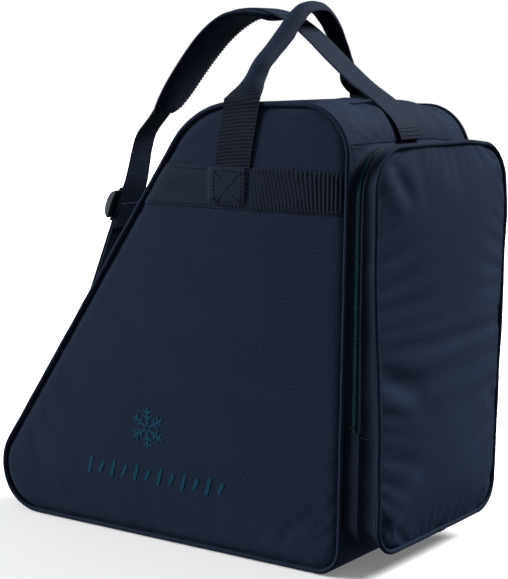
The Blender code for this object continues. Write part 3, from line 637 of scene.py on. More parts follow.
def settle(points, pressure, slack, bend):
    """Lets a grid of cloth, sewn down round its edge, swell. Returns how far each point moved."""
    rows, cols, _ = points.shape
    mesh = bpy.data.meshes.new("settling")
    mesh.from_pydata(points.reshape(-1, 3).tolist(), [], grid_faces(rows, cols).tolist())
    temporary = linked("settling", mesh)
    index = np.arange(rows * cols).reshape(rows, cols)
    edge = np.unique(np.concatenate([index[0], index[-1], index[:, 0], index[:, -1]]))
    temporary.vertex_groups.new(name="sewn").add(edge.tolist(), 1.0, "REPLACE")
    cloth = temporary.modifiers.new("cloth", "CLOTH")
    settings = cloth.settings
    settings.quality = 6
    settings.mass = CLOTH_MASS
    settings.air_damping = 2.0
    settings.tension_stiffness = settings.compression_stiffness = CLOTH_STIFFNESS
    settings.shear_stiffness = CLOTH_STIFFNESS / 3
    settings.bending_stiffness = bend
    settings.vertex_group_mass = "sewn"
    settings.use_pressure = True
    settings.uniform_pressure_force = pressure
    settings.shrink_min = settings.shrink_max = -slack
    settings.effector_weights.gravity = 0.0
    cloth.collision_settings.use_collision = False
    scene = bpy.context.scene
    for step in range(1, CLOTH_FRAMES + 1):
        scene.frame_set(step)
    evaluated = temporary.evaluated_get(bpy.context.evaluated_depsgraph_get())
    moved = np.array([vertex.co for vertex in evaluated.data.vertices]).reshape(points.shape)
    scene.frame_set(1)
    bpy.data.objects.remove(temporary, do_unlink=True)
    return moved - points


def swelling(make_grid, rise, slack, pressure=4.0, coarse=(56, 56), bend=CLOTH_BEND):
    """How a sheet swells, as a field over it whose furthest point moves by rise."""
    u, v = (np.linspace(0, 1, count) for count in coarse)
    flat = make_grid(u, v)
    moved = settle(flat, pressure, slack, bend)
    reach = np.abs((moved * sheet_normals(flat)).sum(-1)).max()
    return moved * (rise / max(reach, 1e-6))


# ---------------------------------------------------------------- materials


class Look:
    """A material under construction, with short calls for the nodes that several materials share."""

    def __init__(self, name, colour, roughness, specular=0.25, metallic=0.0, sheen=0.0):
        self.material = bpy.data.materials.new(name)
        self.material.use_nodes = True
        self.nodes = self.material.node_tree.nodes
        self.links = self.material.node_tree.links
        self.shader = self.nodes["Principled BSDF"]
        self.colour = colour
        self.set("Base Color", (*colour, 1.0))
        self.set("Roughness", roughness)
        self.set("Specular IOR Level", specular)
        self.set("Metallic", metallic)
        self.set("Sheen Weight", sheen)
        self.set("Sheen Roughness", 0.45)
        self.set("Sheen Tint", (0.55, 0.68, 1.0, 1.0))

    def set(self, socket, value):
        self.shader.inputs[socket].default_value = value

    def node(self, kind, inputs=None, **settings):
        made = self.nodes.new(f"ShaderNode{kind}")
        for key, value in settings.items():
            setattr(made, key, value)
        for key, value in (inputs or {}).items():
            if isinstance(value, bpy.types.NodeSocket):
                self.links.new(value, made.inputs[key])
            else:
                made.inputs[key].default_value = value
        return made

    def uv(self):
        return self.node("UVMap", uv_map="Weave").outputs["UV"]

    def place(self):
        return self.node("TexCoord").outputs["Object"]

    def turned(self, vector, angle):
        turn = (0.0, 0.0, math.radians(angle))
        return self.node("Mapping", {"Vector": vector, "Rotation": turn}).outputs["Vector"]

    def bands(self, vector, period, distort=0.0, phase=0.0):
        """Stripes across x, this far apart."""
        inputs = {"Vector": vector, "Scale": math.tau / 20 / period, "Distortion": distort}
        inputs |= {"Detail": 1.0, "Phase Offset": phase}
        made = self.node("TexWave", inputs, wave_type="BANDS", bands_direction="X")
        return made.outputs["Factor" if "Factor" in made.outputs else "Fac"]

    def noise(self, vector, size, detail=2.0):
        return self.node("TexNoise", {"Vector": vector, "Scale": 1 / size, "Detail": detail}).outputs[0]

    def maths(self, operation, a, b):
        return self.node("Math", {0: a, 1: b}, operation=operation).outputs[0]

    def spread(self, value, low, high, start=0.0, end=1.0):
        limits = {"From Min": start, "From Max": end, "To Min": low, "To Max": high}
        return self.node("MapRange", {"Value": value, **limits}).outputs["Result"]

    def tint(self, value, low, high):
        """Drives the colour between two strengths of itself."""
        ramp = self.node("ValToRGB", {"Fac": value})
        for element, strength in zip(ramp.color_ramp.elements, (low, high)):
            element.color = (*[min(1.0, part * strength) for part in self.colour], 1.0)
        self.links.new(ramp.outputs["Color"], self.shader.inputs["Base Color"])

    def bump(self, height, distance, strength=1.0):
        made = self.node("Bump", {"Height": height, "Distance": distance, "Strength": strength})
        self.links.new(made.outputs["Normal"], self.shader.inputs["Normal"])

    def rough(self, value, low, high):
        self.links.new(self.spread(value, low, high), self.shader.inputs["Roughness"])

    def product(self, a, b):
        return self.maths("MULTIPLY", a, b)

    def mixed(self, a, b, share):
        """Two values together, the first with this share."""
        return self.maths("ADD", self.product(a, share), self.product(b, round(1 - share, 6)))

    def fleck(self, vector, size):
        return self.spread(self.noise(vector, size), 0.0, 1.0, 0.3, 0.7)


NAVY = (0.0104, 0.0174, 0.0350)
# The door's navy is lighter than the panels': painted light, for the door's lit face
LIT_DOOR_NAVY = (0.0125, 0.0208, 0.0420)
# The box gusset's navy is darker than the panels': painted shade, for the bag's side shadowing it
SHADED_BOX_NAVY = (0.0076, 0.0122, 0.0240)
WEB_NAVY = (0.0086, 0.0138, 0.0272)


def twill(name, colour, period=0.0019, contrast=1.15):
    """Woven polyester: fine diagonal ribs broken up by the yarns that cross them."""
    look = Look(name, colour, 0.82, specular=0.05)
    uv = look.uv()
    ribs = look.bands(look.turned(uv, -52), period, 0.8)
    yarns = look.bands(look.turned(uv, 38), period * 1.25, 0.6)
    weave = look.product(look.spread(ribs, 0.10, 1.0), look.spread(yarns, 0.50, 1.0))
    broad = look.noise(look.place(), 0.05)
    cloth = look.mixed(weave, look.fleck(uv, 0.0016), 0.6)
    look.tint(look.mixed(cloth, broad, 0.8), 1 - contrast, 1 + contrast)
    look.rough(broad, 0.76, 0.88)
    look.bump(cloth, 0.00022)
    return look.material


def webbing_look():
    """Heavy woven webbing: coarse cross ribs with painted shade in their grooves, cut up by the lengthwise
    yarns.
    """
    look = Look("navy_webbing", WEB_NAVY, 0.78, specular=0.05)
    uv = look.uv()
    coarse = look.bands(uv, RIB_PITCH, phase=math.pi)
    ribs = look.node("UVMap", uv_map="Ribs").outputs["UV"]
    strength = look.node("SeparateXYZ", {0: ribs}).outputs["X"]
    # Painted shade in the grooves between the cross ribs, as strong as the ribs are high
    painted_groove_shade = look.maths("SUBTRACT", 1.0, look.product(strength, look.spread(coarse, 0.92, 0.0)))
    fine = look.bands(look.turned(uv, 20), 0.0015, 0.8)
    yarns = look.bands(look.turned(uv, 90), 0.0016, 0.8)
    weave = look.product(look.spread(fine, 0.45, 1.0), look.spread(yarns, 0.55, 1.0))
    fleck = look.fleck(uv, 0.0013)
    cloth = look.mixed(weave, fleck, 0.5)
    look.tint(look.product(cloth, painted_groove_shade), 0.12, 2.1)
    look.rough(fleck, 0.68, 0.84)
    look.bump(cloth, 0.00030)
    return look.material


def woven(name, colour, roughness, across, down, tint, bump, rough, specular, sheen=0.0, broad=0.0):
    """A plain weave, its roughness from the weave itself or from broad patches."""
    look = Look(name, colour, roughness, specular, sheen=sheen)
    uv = look.uv()
    weave = look.product(look.bands(uv, across), look.bands(look.turned(uv, 90), down))
    look.tint(weave, *tint)
    look.rough(look.noise(look.place(), broad) if broad else weave, *rough)
    look.bump(weave, bump)
    return look.material


def striped(name, colour, roughness, angle, period, distort, tint, rough, bump, specular, sheen=0.0):
    """Slanted stripes: the twist of a thread, or the weave under a thin print."""
    look = Look(name, colour, roughness, specular, sheen=sheen)
    stripes = look.bands(look.turned(look.place(), angle), period, distort)
    look.tint(stripes, *tint)
    look.rough(stripes, *rough)
    look.bump(stripes, bump)
    return look.material


def grained(name, colour, roughness, size, detail, tint, rough, bump, specular, metallic=0.0, fine=0.0):
    """Moulded or cast: patches of this size, with the relief of a finer grain if there is one."""
    look = Look(name, colour, roughness, specular, metallic)
    wear = look.noise(look.place(), size, detail)
    look.tint(wear, *tint)
    look.rough(wear, *rough)
    look.bump(look.noise(look.place(), fine) if fine else wear, bump)
    return look.material


def foam_look():
    look = Look("foam_cells", (0.08, 0.083, 0.09), 0.95, specular=0.05)
    cells = look.node("TexVoronoi", {"Vector": look.place(), "Scale": 900.0}).outputs["Distance"]
    look.tint(cells, 0.7, 1.2)
    look.rough(cells, 0.88, 1.0)
    look.bump(cells, 0.0004)
    return look.material


def mesh_look():
    """Spacer mesh: dark, with small holes between crossed yarns."""
    look = Look("spacer_mesh", (0.0150, 0.0215, 0.0400), 0.85, specular=0.08, sheen=0.02)
    uv = look.uv()
    yarns = [look.bands(look.turned(uv, angle), 0.0028, 1.0) for angle in (38, -38)]
    holes = look.node("TexVoronoi", {"Vector": uv, "Scale": 520.0}).outputs["Distance"]
    net = look.mixed(look.product(*yarns), holes, 0.6)
    look.tint(net, 0.45, 1.9)
    look.rough(holes, 0.75, 0.95)
    look.bump(net, 0.0007)
    return look.material


FABRIC = twill("navy_twill", NAVY)
# The door's twill has its own finer weave, and its lighter navy is painted light
LIT_DOOR_FABRIC = twill("door_twill_painted_light", LIT_DOOR_NAVY, period=0.0014, contrast=0.85)
# The box's gussets take the darker navy as painted shade
SHADED_GUSSET_FABRIC = twill("gusset_twill_painted_shade", SHADED_BOX_NAVY)
PIPING_LOOK = twill("piping_twill", tuple(part * 0.92 for part in NAVY), period=0.0012, contrast=0.30)
WEB = webbing_look()
FOAM = foam_look()
MESH = mesh_look()
LINING = woven(
    "lining_taffeta", (0.007, 0.008, 0.012), 0.62, 0.0009, 0.0009,
    tint=(0.8, 1.25), rough=(0.52, 0.72), bump=0.00010, specular=0.12, sheen=0.02, broad=0.03,
)  # fmt: skip
TAPE = woven(
    "zip_tape_weave", (0.0075, 0.0560, 0.0660), 0.80, 0.0010, 0.0008,
    tint=(0.65, 1.35), rough=(0.74, 0.86), bump=0.0002, specular=0.05,
)  # fmt: skip
BOARD = grained(
    "board_plastic", (0.009, 0.010, 0.012), 0.55, 0.0012, 3.0,
    tint=(0.85, 1.15), rough=(0.45, 0.65), bump=0.0001, specular=0.25,
)  # fmt: skip
COIL = grained(
    "coil_nylon", (0.0045, 0.0300, 0.0350), 0.45, 0.0015, 2.0,
    tint=(0.7, 1.3), rough=(0.30, 0.50), bump=0.00005, specular=0.12,
)  # fmt: skip
PLASTIC = grained(
    "buckle_acetal", (0.032, 0.038, 0.052), 0.42, 0.012, 3.0,
    tint=(0.85, 1.15), rough=(0.36, 0.50), bump=0.00006, specular=0.25, fine=0.0008,
)  # fmt: skip
METAL = grained(
    "gunmetal_plate", (0.020, 0.023, 0.030), 0.40, 0.004, 3.0,
    tint=(0.8, 1.3), rough=(0.26, 0.46), bump=0.00004, specular=0.4, metallic=1.0,
)  # fmt: skip
INK = striped(
    "screen_print", (0.0060, 0.0400, 0.0700), 0.66, 58, 0.0016, 0.6,
    tint=(0.85, 1.15), rough=(0.6, 0.75), bump=0.00012, specular=0.05,
)  # fmt: skip
THREAD = striped(
    "sewing_thread", (0.0085, 0.0110, 0.0190), 0.60, 35, 0.0005, 0.0,
    tint=(0.7, 1.3), rough=(0.5, 0.65), bump=0.0001, specular=0.12, sheen=0.02,
)  # fmt: skip


def relook(node, look):
    """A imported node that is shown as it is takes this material."""
    node.data.materials.clear()
    node.data.materials.append(look)


def on(made, body, slot, *nodes):
    """The piece moves with one body, and stands for these nodes."""
    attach(made, body)
    if nodes:
        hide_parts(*nodes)
    return made


def across_fold(made, slot, *nodes):
    """The piece's transform is baked into its mesh, and the nodes that it stands for are hidden."""
    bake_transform(made)
    if nodes:
        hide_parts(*nodes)
    return made


# ---------------------------------------------------------------- side panels

PANEL_EDGE_INSET = 0.0036
PANEL_EDGE_DEPTH = 0.0030
PANEL_RISE = 0.0055
PANEL_FINE = 150
LAYER_INSET = 1.6
PANEL_EDGE_ROLL = 0.0038
PANEL_FLOOR = 0.0009
PANEL_WAVE = 0.00035
# Name, depth behind the face, share of its swelling, thickness, look, slot and fineness
PANEL_LAYERS = (
    ("side_panel", 0.0, 1.0, 0.0018, FABRIC, "twill", PANEL_FINE),
    ("foam_pad", 0.0028, 0.90, 0.0047, FOAM, "foam", 60),
    ("lining", 0.0080, 0.55, 0.0008, LINING, "lining", 70),
)
SEAM_TAPE_INSET = (0.0090, 0.0112)
SEAM_TAPE_SECTION = (0.0036, 0.0006)
SEAM_TAPE_DEPTH = 0.0094
# Side, slack and pressure of its cloth
PANEL_SLACK = (("left", 0.006, 4.0), ("right", 0.008, 5.0))


def side_patch(inset, u, v):
    plane = arcs_patch(side_arcs(inset, inset + PANEL_FLOOR), u, v)
    return np.stack([plane[..., 0], np.full(plane.shape[:-1], -PANEL_Y), plane[..., 1]], -1)


def side_surface(swell, inset, depth, share, count):
    """The left panel's face, or a layer this deep behind it, with its edge turned in under the piping."""
    u = v = crowded(count)
    points = side_patch(inset, u, v)
    edge = distance_to(side_loop(inset, inset + PANEL_FLOOR), points[..., [0, 2]])
    points = points + read_field(swell, u, v) * share
    points[..., 1] += depth + PANEL_EDGE_DEPTH * np.exp(-((edge / PANEL_EDGE_ROLL) ** 1.3))
    wave = ripple(points[..., 0], points[..., 2], 0.16, SEED)
    points[..., 1] -= PANEL_WAVE * wave * smoothstep(0, 0.03, edge)
    return points


def mirrored(points):
    """The same sheet on the right side, still facing out."""
    return (points * np.array([1.0, -1.0, 1.0]))[::-1]


def make_sides():
    for side, slack, pressure in PANEL_SLACK:
        swell = swelling(lambda u, v: side_patch(PANEL_EDGE_INSET, u, v), PANEL_RISE, slack, pressure)
        for name, depth, share, thick, look, slot, count in PANEL_LAYERS:
            points = side_surface(swell, PANEL_EDGE_INSET + depth * LAYER_INSET, depth, share, count)
            if side == "right":
                points = mirrored(points)
            made = slab(f"{side}_{name}_soft", points, thick, look, points[..., [0, 2]])
            on(made, "bag", slot, f"{side}_{name}")
            if name == "side_panel":
                quads = grid_faces(*points.shape[:2]).tolist()
                panel_trees[side] = BVHTree.FromPolygons(points.reshape(-1, 3).tolist(), quads)
        make_side_piping(side)
        make_seam_tape(side)


def panel_y(side, x, z):
    """How far out the side panel is at (x, z), without its sign."""
    sign = SIGNS[side]
    hit, _, _, _ = panel_trees[side].ray_cast(Vector((x, sign * 0.5, z)), Vector((0, -sign, 0)))
    return abs(hit.y) if hit else PANEL_Y - PANEL_EDGE_DEPTH


def panel_heights(side, x, z):
    """The same at many points."""
    flat = [panel_y(side, a, b) for a, b in zip(np.ravel(x), np.ravel(z))]
    return np.array(flat).reshape(np.shape(x))


def piping_radius(loop, seed):
    """A cord's radius along its loop, a little uneven."""
    return PIPING_RADIUS * (1 + 0.03 * ripple(loop[:, 0], loop[:, 1], 0.012, seed))


def make_side_piping(side):
    sign = SIGNS[side]
    loop = side_loop(PIPING_INSET, PIPING_FLOOR, PIPING_STEP)
    wander = ripple(loop[:, 0], loop[:, 1], 0.05, SEED + sign)
    path = at_y(sign * PIPING_Y + 0.0003 * wander, loop)
    radius = piping_radius(loop, SEED)
    made = tube(f"{side}_piping_cord", path, radius, PIPING_LOOK, (0, 1, 0), closed=True)
    on(made, "bag", "piping", f"{side}_piping")


def make_seam_tape(side):
    """The tape that binds a side seam inside the bag, folded over the raw edges."""
    loop = side_loop(*SEAM_TAPE_INSET, 0.003)
    outward = np.column_stack([-np.gradient(loop[:, 1]), np.gradient(loop[:, 0])])
    outward /= np.linalg.norm(outward, axis=1, keepdims=True)
    section = arc((0.0, 0.0), 1.0, 0, math.tau, 12)[:-1] * SEAM_TAPE_SECTION
    inner_y = PANEL_Y - SEAM_TAPE_DEPTH
    rings = [at_y(SIGNS[side] * (inner_y + b), loop + outward * a) for a, b in section]
    points = np.stack(rings, 1)
    faces = grid_faces(len(loop), len(section), True, True).tolist()
    made = build_mesh(f"{side}_seam_tape", points, faces, LINING, length_uv(points), SHARP)
    on(made, "bag", "lining", f"{side}_seam_binding")


# ---------------------------------------------------------------- gussets

GUSSET_LAP = 0.0008
GUSSET_THICK = 0.0020
BASE_LAP = 0.0006
HEEL_FOOT_Z = 0.0300
# Start and end in (x, y), width and height
TOP_FOLDS = (
    ((0.188, -0.090), (0.120, -0.040), 0.0060, 0.0022),
    ((0.190, -0.066), (0.140, -0.020), 0.0050, -0.0018),
    ((0.192, -0.044), (0.150, 0.000), 0.0050, 0.0018),
    ((0.190, 0.070), (0.140, 0.020), 0.0070, 0.0022),
    ((0.186, 0.090), (0.110, 0.060), 0.0070, -0.0018),
    ((0.100, 0.080), (0.030, 0.000), 0.0090, 0.0016),
)  # fmt: skip


def strip(run, half, v):
    """A strip across the bag along a run of (x, z) points. v goes from 0 on the left to 1 on the right."""
    y = (v * 2 - 1) * half
    rows = [np.column_stack([np.full(len(v), x), y, np.full(len(v), z)]) for x, z in run]
    return np.array(rows)


def heel_top_run(inset):
    """The heel-top corner from the surround's seam round to the top."""
    centre = (HEEL_X - HEEL_TOP_RADIUS, HEIGHT - HEEL_TOP_RADIUS)
    radius = HEEL_TOP_RADIUS - inset
    return arc(centre, radius, math.asin((SEAM_Z - centre[1]) / radius), math.pi / 2)


def make_gusset(node, run, rise, slack, count, folds=()):
    """A gusset that swells, or sags, a little and turns down into the piping at both sides."""
    half = GUSSET_HALF + GUSSET_LAP

    def grid(u, v):
        return strip(resample(run, u), half, v)

    swell = swelling(grid, rise, slack, coarse=(64, 40))
    u, v = np.linspace(0, 1, count), crowded(90)
    points = grid(u, v) + read_field(swell, u, v)
    seam = np.exp(-(((half - np.abs(points[..., 1])) / 0.003) ** 2))
    lift = -0.0007 * seam + sum(crease(points[..., 0], points[..., 1], *fold) for fold in folds)
    points += sheet_normals(points) * np.asarray(lift)[..., None]
    points[..., 2] = np.maximum(points[..., 2], 0.0003)
    on(slab(f"{node}_soft", points, GUSSET_THICK, FABRIC), "bag", "twill", node)


def make_gussets():
    toe, heel_bottom, _, crown = side_arcs(GUSSET_INSET, 0.0)
    top_run = np.vstack([heel_top_run(GUSSET_INSET), crown[:1]])[::-1]
    make_gusset("top_gusset", top_run, -0.0024, 0.016, 150, TOP_FOLDS)
    make_gusset("toe_gusset", np.vstack([crown, toe])[::-1], 0.0040, 0.010, 190)
    heel_end = [(HEEL_X - GUSSET_INSET - 0.0010, HEEL_FOOT_Z)]
    base_run = np.vstack([toe[-1:], heel_bottom, heel_end])[::-1]
    points = strip(resample(base_run, np.linspace(0, 1, 120)), GUSSET_HALF + BASE_LAP, crowded(70))
    points[..., 2] += 0.0005 + 0.0004 * ripple(points[..., 0], points[..., 1], 0.12, SEED)
    points[..., 2] = np.maximum(points[..., 2], 0.0002)
    on(slab("base_panel_soft", points, 0.0022, FABRIC), "bag", "twill", "base_panel")
    relook(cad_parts["base_board"], BOARD)


# Across the heel's sheet and up the box: share of the way, inset and how far forward
SURROUND_STEPS = (
    (0.0, 0.0, -0.0014), (0.12, 0.0, -0.0012), (0.35, 0.0, -0.0012), (0.60, 0.0, -0.0008),
    (0.80, 0.0, -0.0003), (0.93, 0.0, 0.0006), (1.0, 0.0006, 0.0018), (1.0, 0.0010, 0.0030),
    (1.0, 0.0012, 0.0042), (1.0, 0.0010, 0.0052), (1.0, 0.0016, 0.0056), (1.0, 0.0026, 0.0052),
)  # fmt: skip
SURROUND_HALF = GUSSET_HALF + 0.0016
SURROUND_LOW_Z = 0.0256
SURROUND_CORNER = 0.0015
SURROUND_FOLD = 0.0075


def make_surround():
    """The heel's sheet round the box, and the strip that it turns into, up to the hem beside the zip."""
    corners = rectangle((-SURROUND_HALF, SURROUND_LOW_Z), (SURROUND_HALF, SEAM_Z))
    arcs = rounded(corners, [SURROUND_CORNER] * 4)
    shares = np.linspace(0, 1, 420, endpoint=False)
    middle = [(0.0, arcs[0][-1][1])]
    outer = resample(np.vstack([middle, arcs[1], arcs[2], arcs[3], arcs[0], middle]), shares)
    rows = []
    for share, inset, forward in SURROUND_STEPS:
        inner = resample(box_loop(BOX_BACK_X, inset), shares)
        width = np.linalg.norm(inner - outer, axis=1)
        folds = 0.0002 * np.sin(width * math.tau / SURROUND_FOLD) * smoothstep(0.004, 0.012, width)
        x = BOX_BACK_X + forward + folds * math.sin(math.pi * share)
        rows.append(at_x(x, outer + (inner - outer) * share))
    where = np.linspace(0, len(SURROUND_STEPS) - 1, 34)
    fine = np.swapaxes(cubic(np.stack(rows), where), 0, 1)
    made = slab("heel_surround_soft", fine, 0.0012, FABRIC, wrap=True)
    on(made, "bag", "twill", "heel_surround", "zip_surround")


# ---------------------------------------------------------------- door box

FACE_INSET = 0.0036
FACE_X = BOX_FRONT_X - 0.0006
FACE_RISE = 0.0110
FACE_EDGE_DEPTH = 0.0026
FACE_EDGE_ROLL = 0.0038
LAYER_EDGE = 0.0066
# Start and end in (y, z), width and height
FACE_FOLDS = (
    ((-0.104, 0.346), (-0.072, 0.306), 0.0100, 0.0014),
    ((-0.088, 0.350), (-0.060, 0.316), 0.0080, -0.0024),
    ((-0.050, 0.357), (-0.042, 0.310), 0.0080, -0.0009),
    ((-0.022, 0.357), (-0.014, 0.316), 0.0080, 0.0008),
    ((0.012, 0.357), (0.010, 0.320), 0.0080, -0.0007),
    ((-0.106, 0.182), (-0.040, 0.150), 0.0110, -0.0030),
    ((-0.104, 0.158), (-0.050, 0.136), 0.0080, 0.0014),
    ((-0.104, 0.040), (-0.050, 0.088), 0.0100, 0.0028),
    ((0.104, 0.210), (0.080, 0.190), 0.0090, -0.0016),
    ((0.102, 0.120), (0.070, 0.140), 0.0090, -0.0014),
)  # fmt: skip


def face_patch(inset, x, u, v):
    """The front of the box inside its piping, moved to x."""
    plane = arcs_patch(box_arcs(BOX_FRONT_X, inset), u, v)
    return np.stack([np.full(plane.shape[:-1], x), plane[..., 0], plane[..., 1]], -1)


def make_door_face():
    """The front of the box, one sheet from its foot to its top, swollen and creased towards its corners."""

    def grid(u, v):
        return face_patch(FACE_INSET, FACE_X, u, v)

    swell = swelling(grid, FACE_RISE, 0.003, 5.0, (52, 72), bend=3.0)
    u, v = crowded(120), crowded(180)
    flat = grid(u, v)
    points = flat + read_field(swell, u, v)
    edge = distance_to(box_loop(BOX_FRONT_X, FACE_INSET), flat[..., 1:])
    points[..., 0] += face_folds(flat) * smoothstep(0.0, 0.012, edge)
    points[..., 0] -= FACE_EDGE_DEPTH * np.exp(-((edge / FACE_EDGE_ROLL) ** 1.3))
    # The door's lighter twill is painted light
    made = slab("door_face_soft", points, 0.0016, LIT_DOOR_FABRIC, points[..., 1:])
    across_fold(made, "twill", "door_panel", "lower_box_panel")
    return swell


def face_folds(points):
    return sum(crease(points[..., 1], points[..., 2], *fold) for fold in FACE_FOLDS)


def door_layer(node, swell, depth, share, thick, look, slot):
    """A layer behind the face, above the fold only."""
    u, v = crowded(60), np.linspace(0, 1, 110)
    points = face_patch(LAYER_EDGE, FACE_X - depth, u, v) + read_field(swell, u, v) * share
    points[..., 0] += np.minimum(0.0, face_folds(points))
    low = FOLD_Z + 0.001
    points[..., 2] = np.maximum(points[..., 2], low + (points[..., 2] - low) * 1e-3)
    keep = (points[..., 2] > low).sum(axis=1).min() + 1
    points = points[:, -keep:]
    across_fold(slab(f"{node}_soft", points, thick, look, points[..., 1:]), slot, node)


def ring_strip(run, shares, columns):
    """A grid round the box: run(x, inset) gives its outline, and columns its (x, inset) from back to front."""
    return np.stack([at_x(x, resample(run(x, inset), shares)) for x, inset in columns], 1)


# How far past the hem's edge, or past the gusset's end, and inset
HEM = (
    (0.0009, 0.0026), (0.0002, 0.0024), (-0.0001, 0.0017), (0.0003, 0.0010),
    (0.0010, 0.0007), (0.0020, 0.0008), (0.0032, 0.0014),
)  # fmt: skip
GUSSET_TURN = ((-0.0013, 0.0010), (-0.0006, 0.0004), (0.0, 0.0010))
GUSSET_SAG = 0.0018
GUSSET_WAVE = 0.0006
GUSSET_WAVE_WIDTH = 0.03


def gusset_columns():
    """(x, inset) across the box's gusset: a rolled hem, a middle that sags, and a turn at the piping."""
    start, end = DOOR_HEM_X, BOX_PIPING_X - 0.0012
    xs = np.linspace(start + 0.005, end - 0.0022, 7)
    middle = [(x, 0.0022 + GUSSET_SAG * math.sin(math.pi * (i + 0.5) / 7)) for i, x in enumerate(xs)]
    hem = [(start + step, inset) for step, inset in HEM]
    return [*hem, *middle, *((end + step, inset) for step, inset in GUSSET_TURN)]


def make_box_gussets():
    """The gusset in front of the zip, which runs on below the fold, and the strip behind it there."""
    shares = np.linspace(0, 1, 560, endpoint=False)
    columns = gusset_columns()
    points = ring_strip(box_loop, shares, columns)
    length = shares * lengths_along(box_loop(BOX_FRONT_X, 0))[-1]
    middle = np.linspace(0, 1, len(columns))[None] * GUSSET_WAVE_WIDTH
    wave = ripple(length[:, None], middle, 0.055, SEED + 3)
    wave *= np.sin(math.pi * middle / GUSSET_WAVE_WIDTH)
    points += sheet_normals(points, True) * (GUSSET_WAVE * wave)[..., None]
    # The gusset's darker twill is painted shade
    made = slab("door_gusset_soft", points, 0.0013, SHADED_GUSSET_FABRIC, wrap=True)
    across_fold(made, "twill", "door_gusset")

    shares = np.linspace(0, 1, 300)
    steps = np.linspace(0, DOOR_HEM_X + 0.0030 - BOX_BACK_X, 9)
    columns = [(BOX_BACK_X - 0.0012 + step, -0.0002) for step in steps]
    points = ring_strip(lambda x, inset: box_trough(x, inset, FOLD_Z - 0.0004), shares, columns)
    # The lower gusset takes the same darker twill, as painted shade
    made = slab("lower_box_gusset_soft", points, 0.0014, SHADED_GUSSET_FABRIC)
    on(made, "bag", "twill", "lower_box_gusset")


LAP_Y = 0.006
LAP_HALF = 0.0085
LAP_BELOW_Z = 0.05


def make_box_piping():
    """The cord round the box's front, and the lap where its ends meet underneath."""
    loop = evenly(box_loop(BOX_FRONT_X, PIPING_RADIUS)[:-1], PIPING_STEP, closed=True)
    wander = ripple(loop[:, 0], loop[:, 1], 0.07, SEED + 5)
    path = at_x(BOX_PIPING_X + 0.0005 * wander, loop)
    radius = piping_radius(loop, SEED + 6)
    made = tube("door_piping_cord", path, radius, PIPING_LOOK, (1, 0, 0), closed=True)
    across_fold(made, "piping", "door_piping", "lower_box_piping")
    low = (np.abs(loop[:, 0] - LAP_Y) < LAP_HALF) & (loop[:, 1] < LAP_BELOW_Z)
    lap = path[low][np.argsort(loop[low, 0])]
    taper = np.sqrt(np.clip(1 - np.linspace(-1, 1, len(lap)) ** 8, 0.3, 1))
    lap_radius = PIPING_RADIUS * 1.22 * taper
    on(tube("door_piping_lap", lap, lap_radius, PIPING_LOOK, (1, 0, 0)), "bag", "piping")


# One turn of the coil: a small loop that reaches from its tape to the middle of the zip
TOOTH_RINGS = (
    (-0.50, 0.10, 0.14, -0.10), (-0.40, 0.24, 0.30, 0.0), (0.0, 0.26, 0.36, 0.06),
    (0.34, 0.30, 0.38, 0.06), (0.46, 0.24, 0.28, 0.02), (0.50, 0.10, 0.12, 0.0),
)  # fmt: skip
TOOTH_RISE = 0.0011
TOOTH_HEIGHT = 0.0022
TAPE_GAP = 0.0004
TAPE_LAP = 0.0014
TAPE_THICK = 0.0006
# Name, side of the zip, the tape's edges, and how far the teeth are shifted along
ZIP_HALVES = (
    ("body", -1, (SURROUND_HEM_X - TAPE_LAP, ZIP_X - TAPE_GAP), 0.0),
    ("door", 1, (ZIP_X + TAPE_GAP, DOOR_HEM_X + TAPE_LAP), 0.5),
)


def tooth_places(run, sign, phase):
    """Where each tooth of one half lies, along the zip's run in (y, z)."""
    count = len(evenly(run, TOOTH_PITCH))
    line = at_x(ZIP_X, resample(run, (np.arange(count - 1) + phase) / count))
    along, _, _ = frames_along(line, (1, 0, 0))
    inward = np.array([0.0, 0.0, 0.25]) - line * np.array([0, 1, 1])
    across = np.array([-sign, 0.0, 0.0])
    places = []
    for origin, tangent, to_middle in zip(line, along, inward):
        out = np.cross(across, tangent)
        out *= -np.sign(out @ to_middle)
        tooth = origin + out * TOOTH_RISE - across * TOOTH_REACH * 0.42
        width = np.cross(out, across) * TOOTH_PITCH * 1.55
        places.append((tooth, np.array([across * TOOTH_REACH, width, out * TOOTH_HEIGHT])))
    return places


def make_zip():
    """Tapes and coils: the bag's half on the surround, the door's half on the gusset."""
    run = box_arch(ZIP_X, ZIP_DEPTH, ZIP_END_Z)
    shares = np.linspace(0, 1, 330)
    for half, sign, edges, phase in ZIP_HALVES:
        columns = [(x, ZIP_DEPTH + TAPE_GAP) for x in np.linspace(*edges, 5)]
        points = ring_strip(lambda x, inset: box_arch(x, inset, ZIP_END_Z), shares, columns)
        tape = slab(f"{half}_zip_tape_woven", points[:, ::-1], TAPE_THICK, TAPE)
        places = tooth_places(run, sign, phase)
        coil = copies(f"{half}_zip_coil_teeth", *lathe_shape(TOOTH_RINGS, 6), places, COIL)
        if half == "body":
            on(tape, "bag", "zip_tape", "body_zip_tape")
            on(coil, "bag", "zip_coil", "body_zip_coil")
        else:
            across_fold(tape, "zip_tape", "door_zip_tape")
            across_fold(coil, "zip_coil", "door_zip_coil")
    for side in SIGNS:
        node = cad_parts[f"{side}_zip_stop"]
        relook(node, METAL)
        bevel = node.modifiers.new("edges", "BEVEL")
        bevel.width = 0.0004
        bevel.segments = 2


